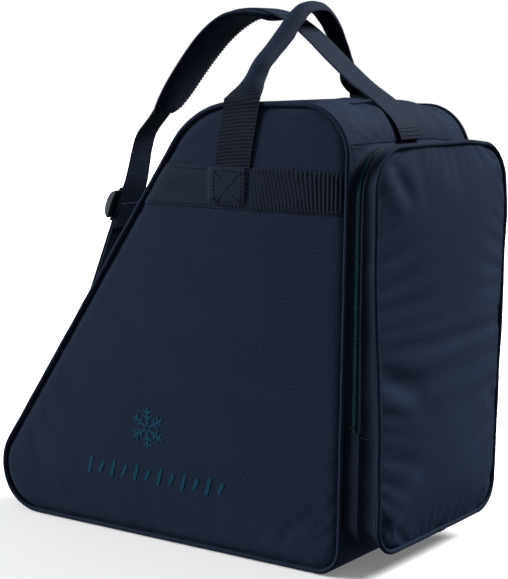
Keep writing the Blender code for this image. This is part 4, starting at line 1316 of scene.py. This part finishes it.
def rounded_solid(name, solids, look, voxel):
    """Joins rough solids into one moulded piece with soft edges."""
    points, faces, start = [], [], 0
    for shape, sides in solids:
        points.append(np.asarray(shape, float))
        faces += [[corner + start for corner in face] for face in sides]
        start += len(shape)
    made = build_mesh(name, np.concatenate(points), faces, look)
    remesh = made.modifiers.new("one", "REMESH")
    remesh.mode = "VOXEL"
    remesh.voxel_size = voxel
    smooth = made.modifiers.new("soft", "SMOOTH")
    smooth.iterations = 4
    smooth.factor = 0.6
    evaluated = made.evaluated_get(bpy.context.evaluated_depsgraph_get())
    mesh = bpy.data.meshes.new_from_object(evaluated)
    made.modifiers.clear()
    made.data = mesh
    mesh.shade_smooth()
    if not mesh.materials:
        mesh.materials.append(look)
    return made


def prism(outline, low, high, place):
    """(points, faces) of an outline given depth. place(u, v, depth) returns the point in space."""
    count = len(outline)
    points = [place(u, v, depth) for depth in (low, high) for u, v in outline]
    faces = [[i, (i + 1) % count, count + (i + 1) % count, count + i] for i in range(count)]
    faces += [list(reversed(range(count))), list(range(count, 2 * count))]
    return np.array(points, float), faces


# The slider's outline in halves of its length, crown posts (from, to), and thicknesses
SLIDER_OUTLINE = (
    (-0.0036, -1), (0.0036, -1), (0.0038, 0), (0.0050, 0.55), (0.0034, 1), (0.0006, 1),
    (0.0, 0.72), (-0.0006, 1), (-0.0034, 1), (-0.0050, 0.55), (-0.0038, 0),
)  # fmt: skip
SLIDER_STANDOFF = 0.0003
SLIDER_TOP = 0.0042
SLIDER_VOXEL = 0.00035
CROWN_POSTS = ((-0.0046, -0.0030), (0.0032, 0.0046))
CROWN_HALF = 0.001
CROWN_THICK = 0.0013
CROWN_ROOT = 0.0006


def make_slider():
    """The slider's body with its two flanges, and its crown."""
    low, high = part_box("zip_slider")
    middle_z = (low.z + high.z) / 2
    half = (high.z - low.z) / 2
    face = box_half_width(ZIP_X, 0.0, middle_z)
    top = face + SLIDER_TOP

    def place(u, v, y):
        return (ZIP_X + u, y, middle_z + v)

    outline = [(u, v * half) for u, v in SLIDER_OUTLINE]
    solids = [prism(outline, face + SLIDER_STANDOFF, top, place)]
    for start, end in CROWN_POSTS:
        post = rectangle((-CROWN_HALF, start), (CROWN_HALF, end))
        solids.append(prism(post, top - CROWN_ROOT, high.y, place))
    bridge = rectangle((-CROWN_HALF, CROWN_POSTS[0][0]), (CROWN_HALF, CROWN_POSTS[1][1]))
    solids.append(prism(bridge, high.y - CROWN_THICK, high.y, place))
    made = rounded_solid("zip_slider_cast", solids, METAL, SLIDER_VOXEL)
    on(made, "slider", "zip_metal", "zip_slider")


# The pull: two sides of its loop, the loop's bar, a tab that narrows at its waist, and three ribs
PULL_HALF = 0.0034
PULL_SIDES = ((-0.0034, -0.0022), (0.0022, 0.0034))
PULL_LOOP = 0.0100
PULL_BAR = 0.0012
PULL_TAB_TOP = 0.0092
PULL_WAIST = (0.0030, 0.020)
PULL_END = (0.0018, 0.004)
PULL_RIBS = (0.0230, 0.0255, 0.0280)
PULL_RIB = (0.0018, 0.0010)
PULL_THIN = 0.00055
PULL_VOXEL = 0.0003


def make_pull():
    """The pull, which hangs from the slider's crown."""
    low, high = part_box("zip_pull")
    length = high.z - low.z
    y_middle = (low.y + high.y) / 2

    def hang(u, v, y):
        return (ZIP_X + u, y_middle + y, high.z - v)

    def plate(outline, share):
        return prism(outline, -PULL_THIN * share, PULL_THIN * share, hang)

    end_half, end_rise = PULL_END
    right = [(PULL_HALF, PULL_TAB_TOP), PULL_WAIST, (PULL_HALF, length - end_rise), (end_half, length)]
    left = [(-u, v) for u, v in reversed(right)]
    solids = [plate(rectangle((a, 0.0), (b, PULL_LOOP)), 1.0) for a, b in PULL_SIDES]
    solids.append(plate(rectangle((-PULL_HALF, 0.0), (PULL_HALF, PULL_BAR)), 1.0))
    solids.append(plate([left[-1], *right, *left[:-1]], 1.3))
    rib_half, rib_wide = PULL_RIB
    solids += [plate(rectangle((-rib_half, v), (rib_half, v + rib_wide)), 1.8) for v in PULL_RIBS]
    made = rounded_solid("zip_pull_cast", solids, METAL, PULL_VOXEL)
    on(made, "pull", "zip_metal", "zip_pull")


# ---------------------------------------------------------------- webbing

FLAT_RIBS = 0.00012


def ribbon(name, path, axis, half, curl=0.0, ribs=FLAT_RIBS, tilt=0.0, columns=11, dip=0.0, twist=0.0):
    """A flat woven strap: its face is a grid that may curl across, with raised cross ribs.

    half, curl, ribs and twist are one number each, or one for each point of the path."""
    path = np.asarray(path, float)
    _, side, up = frames_along(path, axis)
    count = len(path)
    side, up = twisted(side, up, np.broadcast_to(twist, count))
    half = np.broadcast_to(half, count)[:, None]
    curl = np.maximum(np.broadcast_to(curl, count)[:, None], 1e-4)
    ribs = np.broadcast_to(ribs, count)[:, None]
    across = edge_spaced(columns)[None]
    radius = half / curl
    angle = across * curl
    along = lengths_along(path)[:, None]
    height = -radius * (1 - np.cos(angle))
    phase = (along + across * half * tilt + 0.0010 * across**2) / RIB_PITCH
    height = height + ribs * np.cos(math.tau * phase) * (1 - across**8) - dip * across**6
    shift = radius * np.sin(angle)
    rise = (height + WEBBING_THICK / 2)[..., None]
    points = path[:, None] + side[:, None] * shift[..., None] + up[:, None] * rise
    uv = np.stack([phase * RIB_PITCH, np.broadcast_to(across * half, shift.shape)], -1)[:, ::-1]
    # The ribs' height, which also sets the painted shade in their grooves
    strength = np.broadcast_to(ribs / RIB_HEIGHT, shift.shape)
    points = points[:, ::-1]
    return slab(name, points, WEBBING_THICK, WEB, uv, ribs=strength), points


BAND_INSET = 0.0043
BAND_THICK = 0.0014
BAND_STITCH_INSET = 0.0026


def make_band(side):
    """The webbing sewn across a side panel, over the foot of the handle's leg."""
    low, high = BAND_Z
    across = edge_spaced(15)
    columns = []
    for z in low + (high - low) * (1 + across) / 2:
        xs = np.linspace(slope_x(z, BAND_INSET), HEEL_X - BAND_INSET, 560)
        columns.append(np.column_stack([xs, np.full(560, z)]))
    x, z = np.moveaxis(np.stack(columns, 1), -1, 0)
    lift = 0.0015 * (1 - 0.35 * np.abs(across) ** 6)
    over_leg = 0.0017 * smoothstep(0.0215, 0.0185, np.abs(x - LEG_BOTTOM[0] - 0.001))
    over_leg = over_leg * smoothstep(LEG_BOTTOM[1] - 0.001, LEG_BOTTOM[1] + 0.004, z)
    strength = 0.00030 * smoothstep(0.085, 0.125, x) + 0.00006
    phase = (x + (z - low) * 0.22 * (1 - smoothstep(0.13, 0.19, x))) / BAND_RIB_PITCH
    ribs = strength * np.cos(math.tau * phase) * (1 - np.abs(across) ** 8)
    height = softened(panel_heights(side, x, z), 2) + lift + over_leg + ribs
    points = np.stack([x, -height, z], -1)
    uv = np.stack([phase * RIB_PITCH, z], -1)
    # The ribs' height also sets the painted shade in their grooves
    strength = strength / RIB_HEIGHT
    if side == "right":
        points, uv, strength = mirrored(points), uv[::-1], strength[::-1]
    made = slab(f"{side}_band_webbing", points, BAND_THICK, WEB, uv, ribs=strength)
    on(made, "bag", "webbing", f"{side}_band")
    rows = []
    for edge in (low + BAND_STITCH_INSET, high - BAND_STITCH_INSET):
        xs = np.linspace(slope_x(edge, 0.0075), HEEL_X - 0.0080, 160)
        plane = np.column_stack([xs, np.full(160, edge)])
        rows.append(panel_row(side, plane, 0.0016))
    on(stitches(f"{side}_band_stitches", rows), "bag", "webbing")


def panel_row(side, plane, lift):
    """A row of stitches this far off a side panel, from its (x, z)."""
    heights = panel_heights(side, plane[:, 0], plane[:, 1]) + lift
    return row(at_y(SIGNS[side] * heights, plane), (0.0, SIGNS[side], 0.0))


def handle_x(y):
    """The handle stands a little skewed across the bag."""
    return HANDLE_X - HANDLE_SKEW * y


def leg_path(side):
    """The handle's webbing up the panel, as (x, height from the middle, z)."""
    bottom, top = LEG_BOTTOM, (handle_x(SIGNS[side] * LEG_TOP_Y), LEG_TOP_Z)
    z = np.linspace(bottom[1], top[1], 90)
    x = bottom[0] + (top[0] - bottom[0]) * (z - bottom[1]) / (top[1] - bottom[1])
    free = smoothstep(BAND_Z[1], BAND_Z[1] + 0.015, z)
    y = panel_heights(side, x, z) + 0.0010 + 0.0006 * free
    over_piping = smoothstep(top[1] - 0.020, top[1] - 0.004, z)
    y = y * (1 - over_piping) + np.maximum(y, LEG_TOP_Y) * over_piping
    return np.column_stack([x, softened(y, 4), z])


def make_handle():
    """One strap from the foot of one leg, over the bag, to the foot of the other."""
    near = leg_path("left") * (1, -1, 1)
    far = leg_path("right")
    arch = [(handle_x(y), y, z) for y, z in HANDLE_ARCH]
    middle = smooth_route([near[-6], *arch, far[-6]], RIB_STEP)
    path = np.vstack([evenly(near[:-6], RIB_STEP), middle[1:-1], evenly(far[:-6][::-1], RIB_STEP)])
    path = softened(path, 3)
    z = path[:, 2]
    rise = smoothstep(HANDLE_PIVOT_Z - 0.012, HANDLE_PIVOT_Z + 0.020, z)
    # The ribs are lower near the top, with less painted shade in their grooves
    ribs = RIB_HEIGHT - 0.00028 * smoothstep(0.404, 0.422, z)
    wander = 1 + 0.05 * ripple(z, path[:, 1], 0.030, SEED + 2) * rise
    stretch = WEBBING / 2 * (1 - HANDLE_SQUEEZE * rise) * wander
    curl = HANDLE_CURL * rise
    made, _ = ribbon("carry_handle_webbing", path, (1, 0, 0), stretch, curl, ribs, tilt=-0.26)
    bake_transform(made)
    sewn = [f"{side}_handle_{part}" for part in ("leg", "root") for side in SIGNS]
    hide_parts(*sewn, "carry_handle")


BOX_STITCH_INSET = 0.0035


def make_box_stitch(side):
    """The square with a cross in it that holds the handle's leg on the band."""
    half = WEBBING / 2 - BOX_STITCH_INSET
    middle = LEG_BOTTOM[0] + 0.0012
    low, high = BAND_Z[0] + BOX_STITCH_INSET, BAND_Z[1] - BOX_STITCH_INSET
    corners = rectangle((middle - half, low), (middle + half, high))
    lines = [(corners[i], corners[(i + 1) % 4]) for i in range(4)]
    lines += [(corners[0], corners[2]), (corners[1], corners[3])]
    rows = [panel_row(side, resample(line, np.linspace(0, 1, 12)), 0.0034) for line in lines]
    on(stitches(f"{side}_leg_stitches", rows), "bag", "webbing")


# ---------------------------------------------------------------- shoulder strap


def strap_y(x):
    start, end = STRAP_Y_BLEND_X
    return STRAP_Y_HEEL + (STRAP_Y_TOE - STRAP_Y_HEEL) * smoothstep(-start, -end, -np.asarray(x, float))


def in_space(route):
    return at_y(strap_y(route[:, 0]), route)


def anchor_run():
    """The strap's sewn end, round the heel-top corner."""
    centre = (HEEL_X - HEEL_TOP_RADIUS, HEIGHT - HEEL_TOP_RADIUS)
    radius = HEEL_TOP_RADIUS - GUSSET_INSET + ANCHOR_STANDOFF
    return arc(centre, radius, *ANCHOR_ANGLES)


def ring_bars():
    """The ring's lower and upper bars, in (x, z)."""
    foot = np.array([slope_x(TAB_HEIGHT_Z, GUSSET_INSET), TAB_HEIGHT_Z])
    outward = np.array([-math.sin(SLOPE_ANGLE), math.cos(SLOPE_ANGLE)])
    lower = foot + outward * RING_OFFSET
    return lower, lower + np.array([math.cos(RING_LEAN), math.sin(RING_LEAN)]) * RING_REACH


def strap_twist(x):
    """How far the strap is turned about its own length, so that its right edge stands higher."""
    return sum(turn * smoothstep(-start, -end, -x) for start, end, turn in STRAP_TWIST)


def make_strap():
    """The strap from its sewn end on the heel, over the bag, round the toe ring and back up to the adjuster."""
    anchor = anchor_run()
    main = smooth_route([*anchor, *STRAP_ROUTE], RIB_STEP)
    _, bar = ring_bars()
    turn = arc(bar, RING_BAR + WEBBING_THICK / 2 + 2 * GAP, math.pi, math.tau)
    along = np.gradient(main, axis=0)
    normals = np.column_stack([-along[:, 1], along[:, 0]])
    normals /= np.linalg.norm(normals, axis=1, keepdims=True)
    doubled = (main[:, 0] < 0) & (main[:, 1] < RETURN_TOP_Z) & (main[:, 1] > RETURN_LOW_Z)
    back = (main + normals * RETURN_OFFSET)[doubled]
    route = evenly(np.vstack([main, turn, back[::-1]]), RIB_STEP)
    path = in_space(route)
    lift = 0.0018 * (1 - smoothstep(0.0, 0.05, lengths_along(path)))
    path[:, 0] += lift * 0.8
    path[:, 2] += lift * 0.6
    shape = {"ribs": 0.00010, "tilt": 0.2, "columns": 13, "dip": 0.0004}
    twist = strap_twist(path[:, 0])
    made, points = ribbon("shoulder_strap_webbing", path, (0, 1, 0), WEBBING / 2, twist=twist, **shape)
    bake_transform(made)
    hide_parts("shoulder_strap", "strap_anchor")
    make_anchor_stitches(points)
    make_pad(main)


def make_anchor_stitches(points):
    """Three rows across the strap's sewn end."""
    rows = []
    step = lengths_along(points[:, points.shape[1] // 2])
    normals = sheet_normals(points)
    for distance in (0.0030, 0.0065, 0.0100):
        i = int(np.searchsorted(step, distance))
        rows.append((points[i, 1:-1] + normals[i, 1:-1] * 0.0003, normals[i, 1:-1]))
    on(stitches("anchor_stitches", rows), "bag", "webbing")


def pad_half_width(share):
    """Half the pad's width, narrow at both ends."""
    end = np.clip(np.minimum(share, 1 - share) / PAD_END_SHARE, 0.0, 1.0)
    bulge = np.sqrt(1 - (1 - end) ** 2)
    return (PAD_END_WIDTH + (PAD_WIDTH - PAD_END_WIDTH) * bulge) / 2


def make_pad(main):
    """The shoulder pad under the strap: cover, foam, mesh on the shoulder's side, and a bound edge."""
    inside = (main[:, 0] > PAD_RANGE_X[0]) & (main[:, 0] < PAD_RANGE_X[1])
    path = in_space(evenly(main[inside], 0.0016))
    share = np.linspace(0, 1, len(path))
    half = pad_half_width(share)[:, None]
    side, up = twisted(*frames_along(path, (0, 1, 0))[1:], strap_twist(path[:, 0]))
    across = edge_spaced(25)[None]
    crown = np.sqrt(np.clip(1 - np.abs(across) ** 3.0, 0, 1))
    ends = np.clip(np.minimum(share, 1 - share) / 0.05, 0, 1)[:, None] ** 0.5
    swell = 0.0006 * ripple(lengths_along(path)[:, None], across * 0.03, 0.06, SEED + 11)
    top = -(WEBBING_THICK / 2 + GAP) * np.ones_like(crown) - 0.0015 * (1 - crown)
    deep = 0.0016 + (0.0062 + swell) * crown * ends

    def surface(height, trim=0.0):
        width = (half - trim) * across
        return path[:, None] + side[:, None] * width[..., None] + up[:, None] * height[..., None]

    def uv(trim=0.0):
        return np.stack(np.broadcast_arrays(lengths_along(path)[:, None], (half - trim) * across), -1)

    cover = slab("pad_cover_soft", surface(top, 0.0008)[:, ::-1], 0.0008, FABRIC, uv()[:, ::-1])
    on(cover, "strap", "twill", "pad_cover")
    upper, lower = surface(top - 0.0011, 0.0020), surface(top - deep + 0.0009, 0.0020)
    foam = slab_between("pad_foam_soft", upper, lower, FOAM, uv())
    on(foam, "strap", "foam", "pad_foam")
    mesh = slab("pad_mesh_soft", surface(top - deep, 0.0008), 0.0007, MESH, uv())
    on(mesh, "strap", "spacer_mesh", "pad_mesh")
    under = surface(top - deep - 0.0002)
    section = arc((0.0, 0.0), 1.0, 0, math.tau, 14)[:-1]
    tall = np.maximum(deep[:, 1] * 0.5 + 0.0006, 0.0016)[:, None]
    rows = []
    for name, sign in SIGNS.items():
        edge = surface(top - deep / 2)[:, 0 if sign < 0 else -1]
        wide = (section[:, 0] * PAD_BINDING - 0.0006 * sign)[None, :, None]
        points = edge[:, None] + side[:, None] * wide + up[:, None] * (section[None, :, 1] * tall)[..., None]
        faces = grid_faces(len(edge), len(section), False, True).tolist() + caps(len(edge), len(section))
        bound = build_mesh(f"pad_{name}_bound_edge", points, faces, PIPING_LOOK, length_uv(points), SHARP)
        on(bound, "strap", "webbing", f"pad_{name}_binding")
        rows.append((under[:, 3 if sign < 0 else -4], -up))
    on(stitches("pad_stitches", rows), "strap", "webbing")


def slab_between(name, upper, lower, look, uv):
    """A solid between two sheets of the same size, the first on its outer side."""
    rows, cols, _ = upper.shape
    count = rows * cols
    front = grid_faces(rows, cols)
    index = np.arange(count).reshape(rows, cols)
    loop = np.concatenate([index[0], index[1:, -1], index[-1, -2::-1], index[-2:0:-1, 0]])
    after = np.roll(loop, -1)
    rim = np.stack([loop, after, after + count, loop + count], -1)
    faces = np.vstack([front, front[:, ::-1] + count, rim]).tolist()
    both = np.vstack([uv.reshape(-1, 2)] * 2)
    return build_mesh(name, np.concatenate([upper, lower]), faces, look, both, SHARP)


def make_ring():
    """The rectangular ring that the strap turns round at the toe."""
    lower, upper = ring_bars()
    lean = (upper - lower) / np.linalg.norm(upper - lower)
    middle = (lower + upper) / 2
    half = RING_REACH / 2
    corners = rounded(rectangle((-RING_HALF, -half), (RING_HALF, half)), [RING_CORNER] * 4)
    outline = evenly(np.vstack(corners), 0.0012, closed=True)
    path = [(middle[0] + lean[0] * v, STRAP_Y_TOE + u, middle[1] + lean[1] * v) for u, v in outline]
    axis = (-lean[1], 0.0, lean[0])
    made = tube("strap_ring_bar", path, RING_BAR, PLASTIC, axis, closed=True, sides=20)
    on(made, "strap", "buckle", "strap_ring")


# Rows of the tab's stitches, from (along, across) to (along, across)
TAB_ROWS = (
    ((-0.026, -1), (-0.026, 1)), ((-0.020, -1), (-0.020, 1)),
    ((-0.026, -1), (-0.020, 1)), ((-0.026, 1), (-0.020, -1)),
)  # fmt: skip
TAB_STITCH_HALF = 0.0095


def make_tab():
    """The webbing tab sewn on the toe's slope, folded round the ring's lower bar."""
    up = np.array([math.cos(SLOPE_ANGLE), math.sin(SLOPE_ANGLE)])
    out = np.array([-up[1], up[0]])
    foot = ring_bars()[0] - out * RING_OFFSET
    low = WEBBING_THICK / 2 + 2 * GAP
    loop = arc((0.0, RING_OFFSET), RING_BAR + TAB_CLEARANCE + WEBBING_THICK / 2, -math.pi / 2, math.pi / 2, 8)
    stacked = low + WEBBING_THICK + 2 * GAP
    start, end = loop[0][1], loop[-1][1]
    flat = [
        (-TAB_LENGTH, low), (-0.010, low), (-0.005, (low + start) / 2), *loop,
        (-0.0045, end - 0.0014), (-0.0105, end - 0.0060), (-0.0170, stacked), (-TAB_LENGTH, stacked),
    ]  # fmt: skip
    route = smooth_route([foot + up * u + out * v for u, v in flat], RIB_STEP)
    made, _ = ribbon("strap_tab_webbing", at_y(STRAP_Y_TOE, route), (0, 1, 0), TAB_WIDTH / 2, columns=9)
    on(made, "bag", "webbing", "strap_tab")
    rows = []
    base = foot + out * (stacked + WEBBING_THICK / 2 + 0.0004)
    for ends in TAB_ROWS:
        plane = np.array([base + up * u for u, _ in ends])
        line = at_y([STRAP_Y_TOE + v * TAB_STITCH_HALF for _, v in ends], plane)
        rows.append(row(resample(line, np.linspace(0, 1, 6)), (out[0], 0.0, out[1])))
    on(stitches("tab_stitches", rows), "bag", "webbing")


# The adjuster's half length, its side walls' rise, and its bars as (along, up, half length, height)
ADJUSTER_HALF = 0.0145
ADJUSTER_RISE = 0.0082
ADJUSTER_BARS = (
    (-0.0115, 0.0042, 0.0020, 0.0018), (0.0, 0.0024, 0.0022, 0.0024), (0.0115, 0.0042, 0.0020, 0.0018),
)  # fmt: skip
ADJUSTER_VOXEL = 0.0005
PASS_ROUTE = (
    (-0.0175, 0.0024), (-0.0120, 0.0026), (-0.0080, 0.0036), (-0.0045, 0.0058), (0.0, 0.0068),
    (0.0045, 0.0058), (0.0080, 0.0036), (0.0120, 0.0026), (0.0175, 0.0024),
)  # fmt: skip
FOLD_ROUTE = ((-0.0040, -0.0053), (0.0060, -0.0055), (0.0140, -0.0055), (0.0220, -0.0055))


def make_adjuster():
    """The bowed slider on the strap, the webbing over its middle bar, and the fold sewn behind it."""
    at = np.array(ADJUSTER_AT)
    along = np.array(STRAP_STRAIGHT_END) - at
    along /= np.linalg.norm(along)
    out = np.array([along[1], -along[0]])
    out *= -np.sign(out[0])

    def place(u, v, y):
        point = at + along * u + out * v
        return (point[0], STRAP_Y_TOE + y, point[1])

    low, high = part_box("adjuster_frame")
    wide = (high.y - low.y) / 2
    inside = WEBBING / 2 + 0.0012
    skin = WEBBING_THICK / 2 + 0.0006
    angles = np.radians(np.linspace(-88, 88, 23))
    profile = [(ADJUSTER_HALF * math.sin(a), skin + ADJUSTER_RISE * math.cos(a) ** 0.8) for a in angles]
    shares = np.linspace(0.82, -0.82, 9)
    profile += [(ADJUSTER_HALF * share, skin + 0.0014 * (1 - share**2)) for share in shares]
    solids = [prism(profile, -wide, -inside, place), prism(profile, inside, wide, place)]
    for u, v, length, height in ADJUSTER_BARS:
        bar = rectangle((u - length, v), (u + length, v + height))
        solids.append(prism(bar, -inside - 0.002, inside + 0.002, place))
    made = rounded_solid("adjuster_moulding", solids, PLASTIC, ADJUSTER_VOXEL)
    on(made, "adjuster", "buckle", "adjuster_frame")
    for name, route in (("pass", PASS_ROUTE), ("fold", FOLD_ROUTE)):
        line = smooth_route([at + along * u + out * v for u, v in route], RIB_STEP)
        path = at_y(STRAP_Y_TOE, line)
        made, _ = ribbon(f"adjuster_{name}_webbing", path, (0, 1, 0), WEBBING / 2)
        on(made, "adjuster", "webbing", f"adjuster_webbing_{name}")


# ---------------------------------------------------------------- topstitching and print


def box_row(x, inset):
    """A line over the box at x, above the fold, with its normals."""
    plane = resample(box_arch(x, inset, FOLD_Z + 0.004), np.linspace(0, 1, 240))
    line = at_x(x, plane)
    along = np.gradient(line, axis=0)
    normals = np.cross(along, (1.0, 0.0, 0.0))
    normals /= np.linalg.norm(normals, axis=1, keepdims=True)
    outward = np.sign((normals * (line - (0, 0, 0.2)))[:, 1:].sum(1))
    return line, normals * outward[:, None]


def make_topstitching():
    """Rows beside the zip on both hems, across the fold's foot, and along the heel's top seam."""
    body_row = box_row(SURROUND_HEM_X - 0.0022, 0.0007)
    on(stitches("surround_stitches", [body_row]), "bag", "twill")
    door_row = box_row(DOOR_HEM_X + 0.0026, 0.0008)
    across_fold(stitches("door_hem_stitches", [door_row]), "twill")
    x = np.linspace(BOX_BACK_X + 0.003, BOX_PIPING_X - 0.004, 12)
    z = FOLD_Z - 0.0035
    half = box_half_width(x, -0.0011, z)
    plane = np.column_stack([x, np.full(12, z)])
    rows = [row(at_y(sign * half, plane), (0.0, sign, 0.0)) for sign in SIGNS.values()]
    y = np.linspace(-GUSSET_HALF + 0.004, GUSSET_HALF - 0.004, 60)
    seam = np.column_stack([y, np.full(60, SEAM_Z - 0.0032)])
    rows.append(row(at_x(BOX_BACK_X - 0.0011, seam), (1.0, 0.0, 0.0)))
    on(stitches("seam_stitches", rows), "bag", "twill")


def flat_bar(a, b, half):
    """A bar with rounded ends between two points of a plane, as an outline."""
    a, b = np.array(a, float), np.array(b, float)
    angle = math.atan2(b[1] - a[1], b[0] - a[0])
    quarter = math.pi / 2
    ahead = arc(b, half, angle - quarter, angle + quarter, 6)
    behind = arc(a, half, angle + quarter, angle + 3 * quarter, 6)
    return np.vstack([ahead, behind])


# The snowflake: its middle in (x, z), its arms (from, to, half width) and their barbs
FLAKE_MIDDLE = (-0.0105, 0.104)
FLAKE_ARM = (0.0030, 0.0185, 0.0013)
BARB_AT = (0.0085, 0.0135)
BARB_LENGTH = 0.0048
BARB_HALF = 0.0010
BARB_TURN = math.radians(58)
# The dashes: first x, pitch, middle height, heights in turn, slant and half width
DASH_X = -0.081
DASH_PITCH = 0.0138
DASH_Z = 0.060
DASH_TALL = (0.0066, 0.0042)
DASH_SLANT = 0.0022
DASH_HALF = 0.0018
PRINT_LIFT = 0.00045


def heading(angle):
    return np.array([math.cos(angle), math.sin(angle)])


def print_outlines():
    """The outlines of a generic snowflake over a row of slanted dashes, in (x, z)."""
    middle = np.array(FLAKE_MIDDLE)
    start, end, half = FLAKE_ARM
    outlines = []
    for arm in range(6):
        angle = math.radians(60 * arm + 30)
        along = heading(angle)
        outlines.append(flat_bar(middle + along * start, middle + along * end, half))
        for reach in BARB_AT:
            knot = middle + along * reach
            for turn in (-BARB_TURN, BARB_TURN):
                outlines.append(flat_bar(knot, knot + heading(angle + turn) * BARB_LENGTH, BARB_HALF))
    for i in range(12):
        x = DASH_X + i * DASH_PITCH
        tall = DASH_TALL[i % 2]
        low, high = (x - DASH_SLANT, DASH_Z - tall), (x + DASH_SLANT, DASH_Z + tall)
        outlines.append(flat_bar(low, high, DASH_HALF))
    return outlines


def make_print():
    """The print on the near panel, as thin solids that follow its swelling."""
    points, faces = [], []
    for outline in print_outlines():
        start = len(points)
        count = len(outline)
        for lift in (PRINT_LIFT, 0.0):
            points += [(x, -panel_y("left", x, z) - lift, z) for x, z in outline]
        faces.append([start + i for i in range(count)])
        faces.append([start + count + i for i in reversed(range(count))])
        for i in range(count):
            j = (i + 1) % count
            faces.append([start + j, start + i, start + count + i, start + count + j])
    made = build_mesh("panel_print", points, faces, INK, np.array(points)[:, [0, 2]], sharp=30)
    on(made, "bag", "twill")


# ---------------------------------------------------------------- stage


FLOOR_HALF = 6
FLOOR_Z = -0.0003
FLOOR_GLOW = 0.16
SKY_COLOUR = (0.92, 0.96, 1.0, 1)
KEY_SUN = ((0.40, 0.62, 0.68), 6.5, 30)
FILL_SUN = ((-0.85, -0.42, 0.30), 5.2, 30)


def make_floor():
    """A white floor that takes the bag's shadow and gives no light back."""
    half = FLOOR_HALF
    mesh = bpy.data.meshes.new("floor")
    corners = [(-half, -half, 0), (half, -half, 0), (half, half, 0), (-half, half, 0)]
    mesh.from_pydata(corners, [], [(0, 1, 2, 3)])
    floor = linked("floor", mesh)
    look = Look("studio_floor", (0.97, 0.97, 0.97), 0.9, specular=0.0)
    look.set("Emission Color", (1.0, 1.0, 1.0, 1.0))
    look.set("Emission Strength", FLOOR_GLOW)
    mesh.materials.append(look.material)
    floor.location.z = FLOOR_Z
    floor.visible_diffuse = False
    floor.visible_glossy = False


def make_sky():
    """White to the camera, and a soft light that depends on its height to everything else."""
    world = bpy.data.worlds.new("studio")
    bpy.context.scene.world = world
    world.use_nodes = True
    nodes, links = world.node_tree.nodes, world.node_tree.links
    nodes.clear()
    out = nodes.new("ShaderNodeOutputWorld")
    mix = nodes.new("ShaderNodeMixShader")
    path = nodes.new("ShaderNodeLightPath")
    seen = nodes.new("ShaderNodeBackground")
    seen.inputs["Color"].default_value = (1, 1, 1, 1)
    seen.inputs["Strength"].default_value = 1.0
    light = nodes.new("ShaderNodeBackground")
    light.inputs["Color"].default_value = SKY_COLOUR
    place = nodes.new("ShaderNodeTexCoord")
    split = nodes.new("ShaderNodeSeparateXYZ")
    height = nodes.new("ShaderNodeValToRGB")
    elements = height.color_ramp.elements
    for element, (position, strength) in zip(elements, (SKY[0], SKY[-1])):
        element.position = position
        element.color = (*[strength] * 3, 1)
    for position, strength in SKY[1:-1]:
        elements.new(position).color = (*[strength] * 3, 1)
    rise = nodes.new("ShaderNodeMapRange")
    rise.inputs["From Min"].default_value = -1.0
    links.new(place.outputs["Generated"], split.inputs[0])
    links.new(split.outputs["Z"], rise.inputs["Value"])
    links.new(rise.outputs["Result"], height.inputs["Fac"])
    links.new(height.outputs["Color"], light.inputs["Strength"])
    links.new(path.outputs["Is Camera Ray"], mix.inputs[0])
    links.new(light.outputs[0], mix.inputs[1])
    links.new(seen.outputs[0], mix.inputs[2])
    links.new(mix.outputs[0], out.inputs["Surface"])


def add_sun(name, direction, strength, softness):
    lamp = bpy.data.lights.new(name, "SUN")
    lamp.energy = strength
    lamp.angle = math.radians(softness)
    made = linked(name, lamp)
    made.rotation_mode = "QUATERNION"
    made.rotation_quaternion = Vector(direction).to_track_quat("Z", "Y")


def make_camera():
    lens = bpy.data.cameras.new("camera")
    lens.lens = CAMERA_LENS
    lens.sensor_width = 36.0
    lens.clip_start = 0.01
    camera = linked("camera", lens)
    turn, lift = CAMERA_AZIMUTH, CAMERA_ELEVATION
    back = Vector((math.sin(turn) * math.cos(lift), -math.cos(turn) * math.cos(lift), math.sin(lift)))
    camera.location = CAMERA_PLACE
    camera.rotation_mode = "QUATERNION"
    camera.rotation_quaternion = (-back).to_track_quat("-Z", "Y")
    bpy.context.scene.camera = camera
    bpy.context.scene.view_settings.view_transform = "Standard"


make_camera()
make_sides()
make_gussets()
make_surround()
door_swell = make_door_face()
door_layer("door_foam", door_swell, 0.0032, 0.88, 0.0040, FOAM, "foam")
door_layer("door_lining", door_swell, 0.0076, 0.60, 0.0008, LINING, "lining")
make_box_gussets()
make_box_piping()
make_zip()
make_slider()
make_pull()
for panel_side in SIGNS:
    make_band(panel_side)
make_handle()
for panel_side in SIGNS:
    make_box_stitch(panel_side)
make_strap()
make_ring()
make_tab()
make_adjuster()
make_topstitching()
make_print()
make_floor()
make_sky()
add_sun("key", *KEY_SUN)
add_sun("fill", *FILL_SUN)
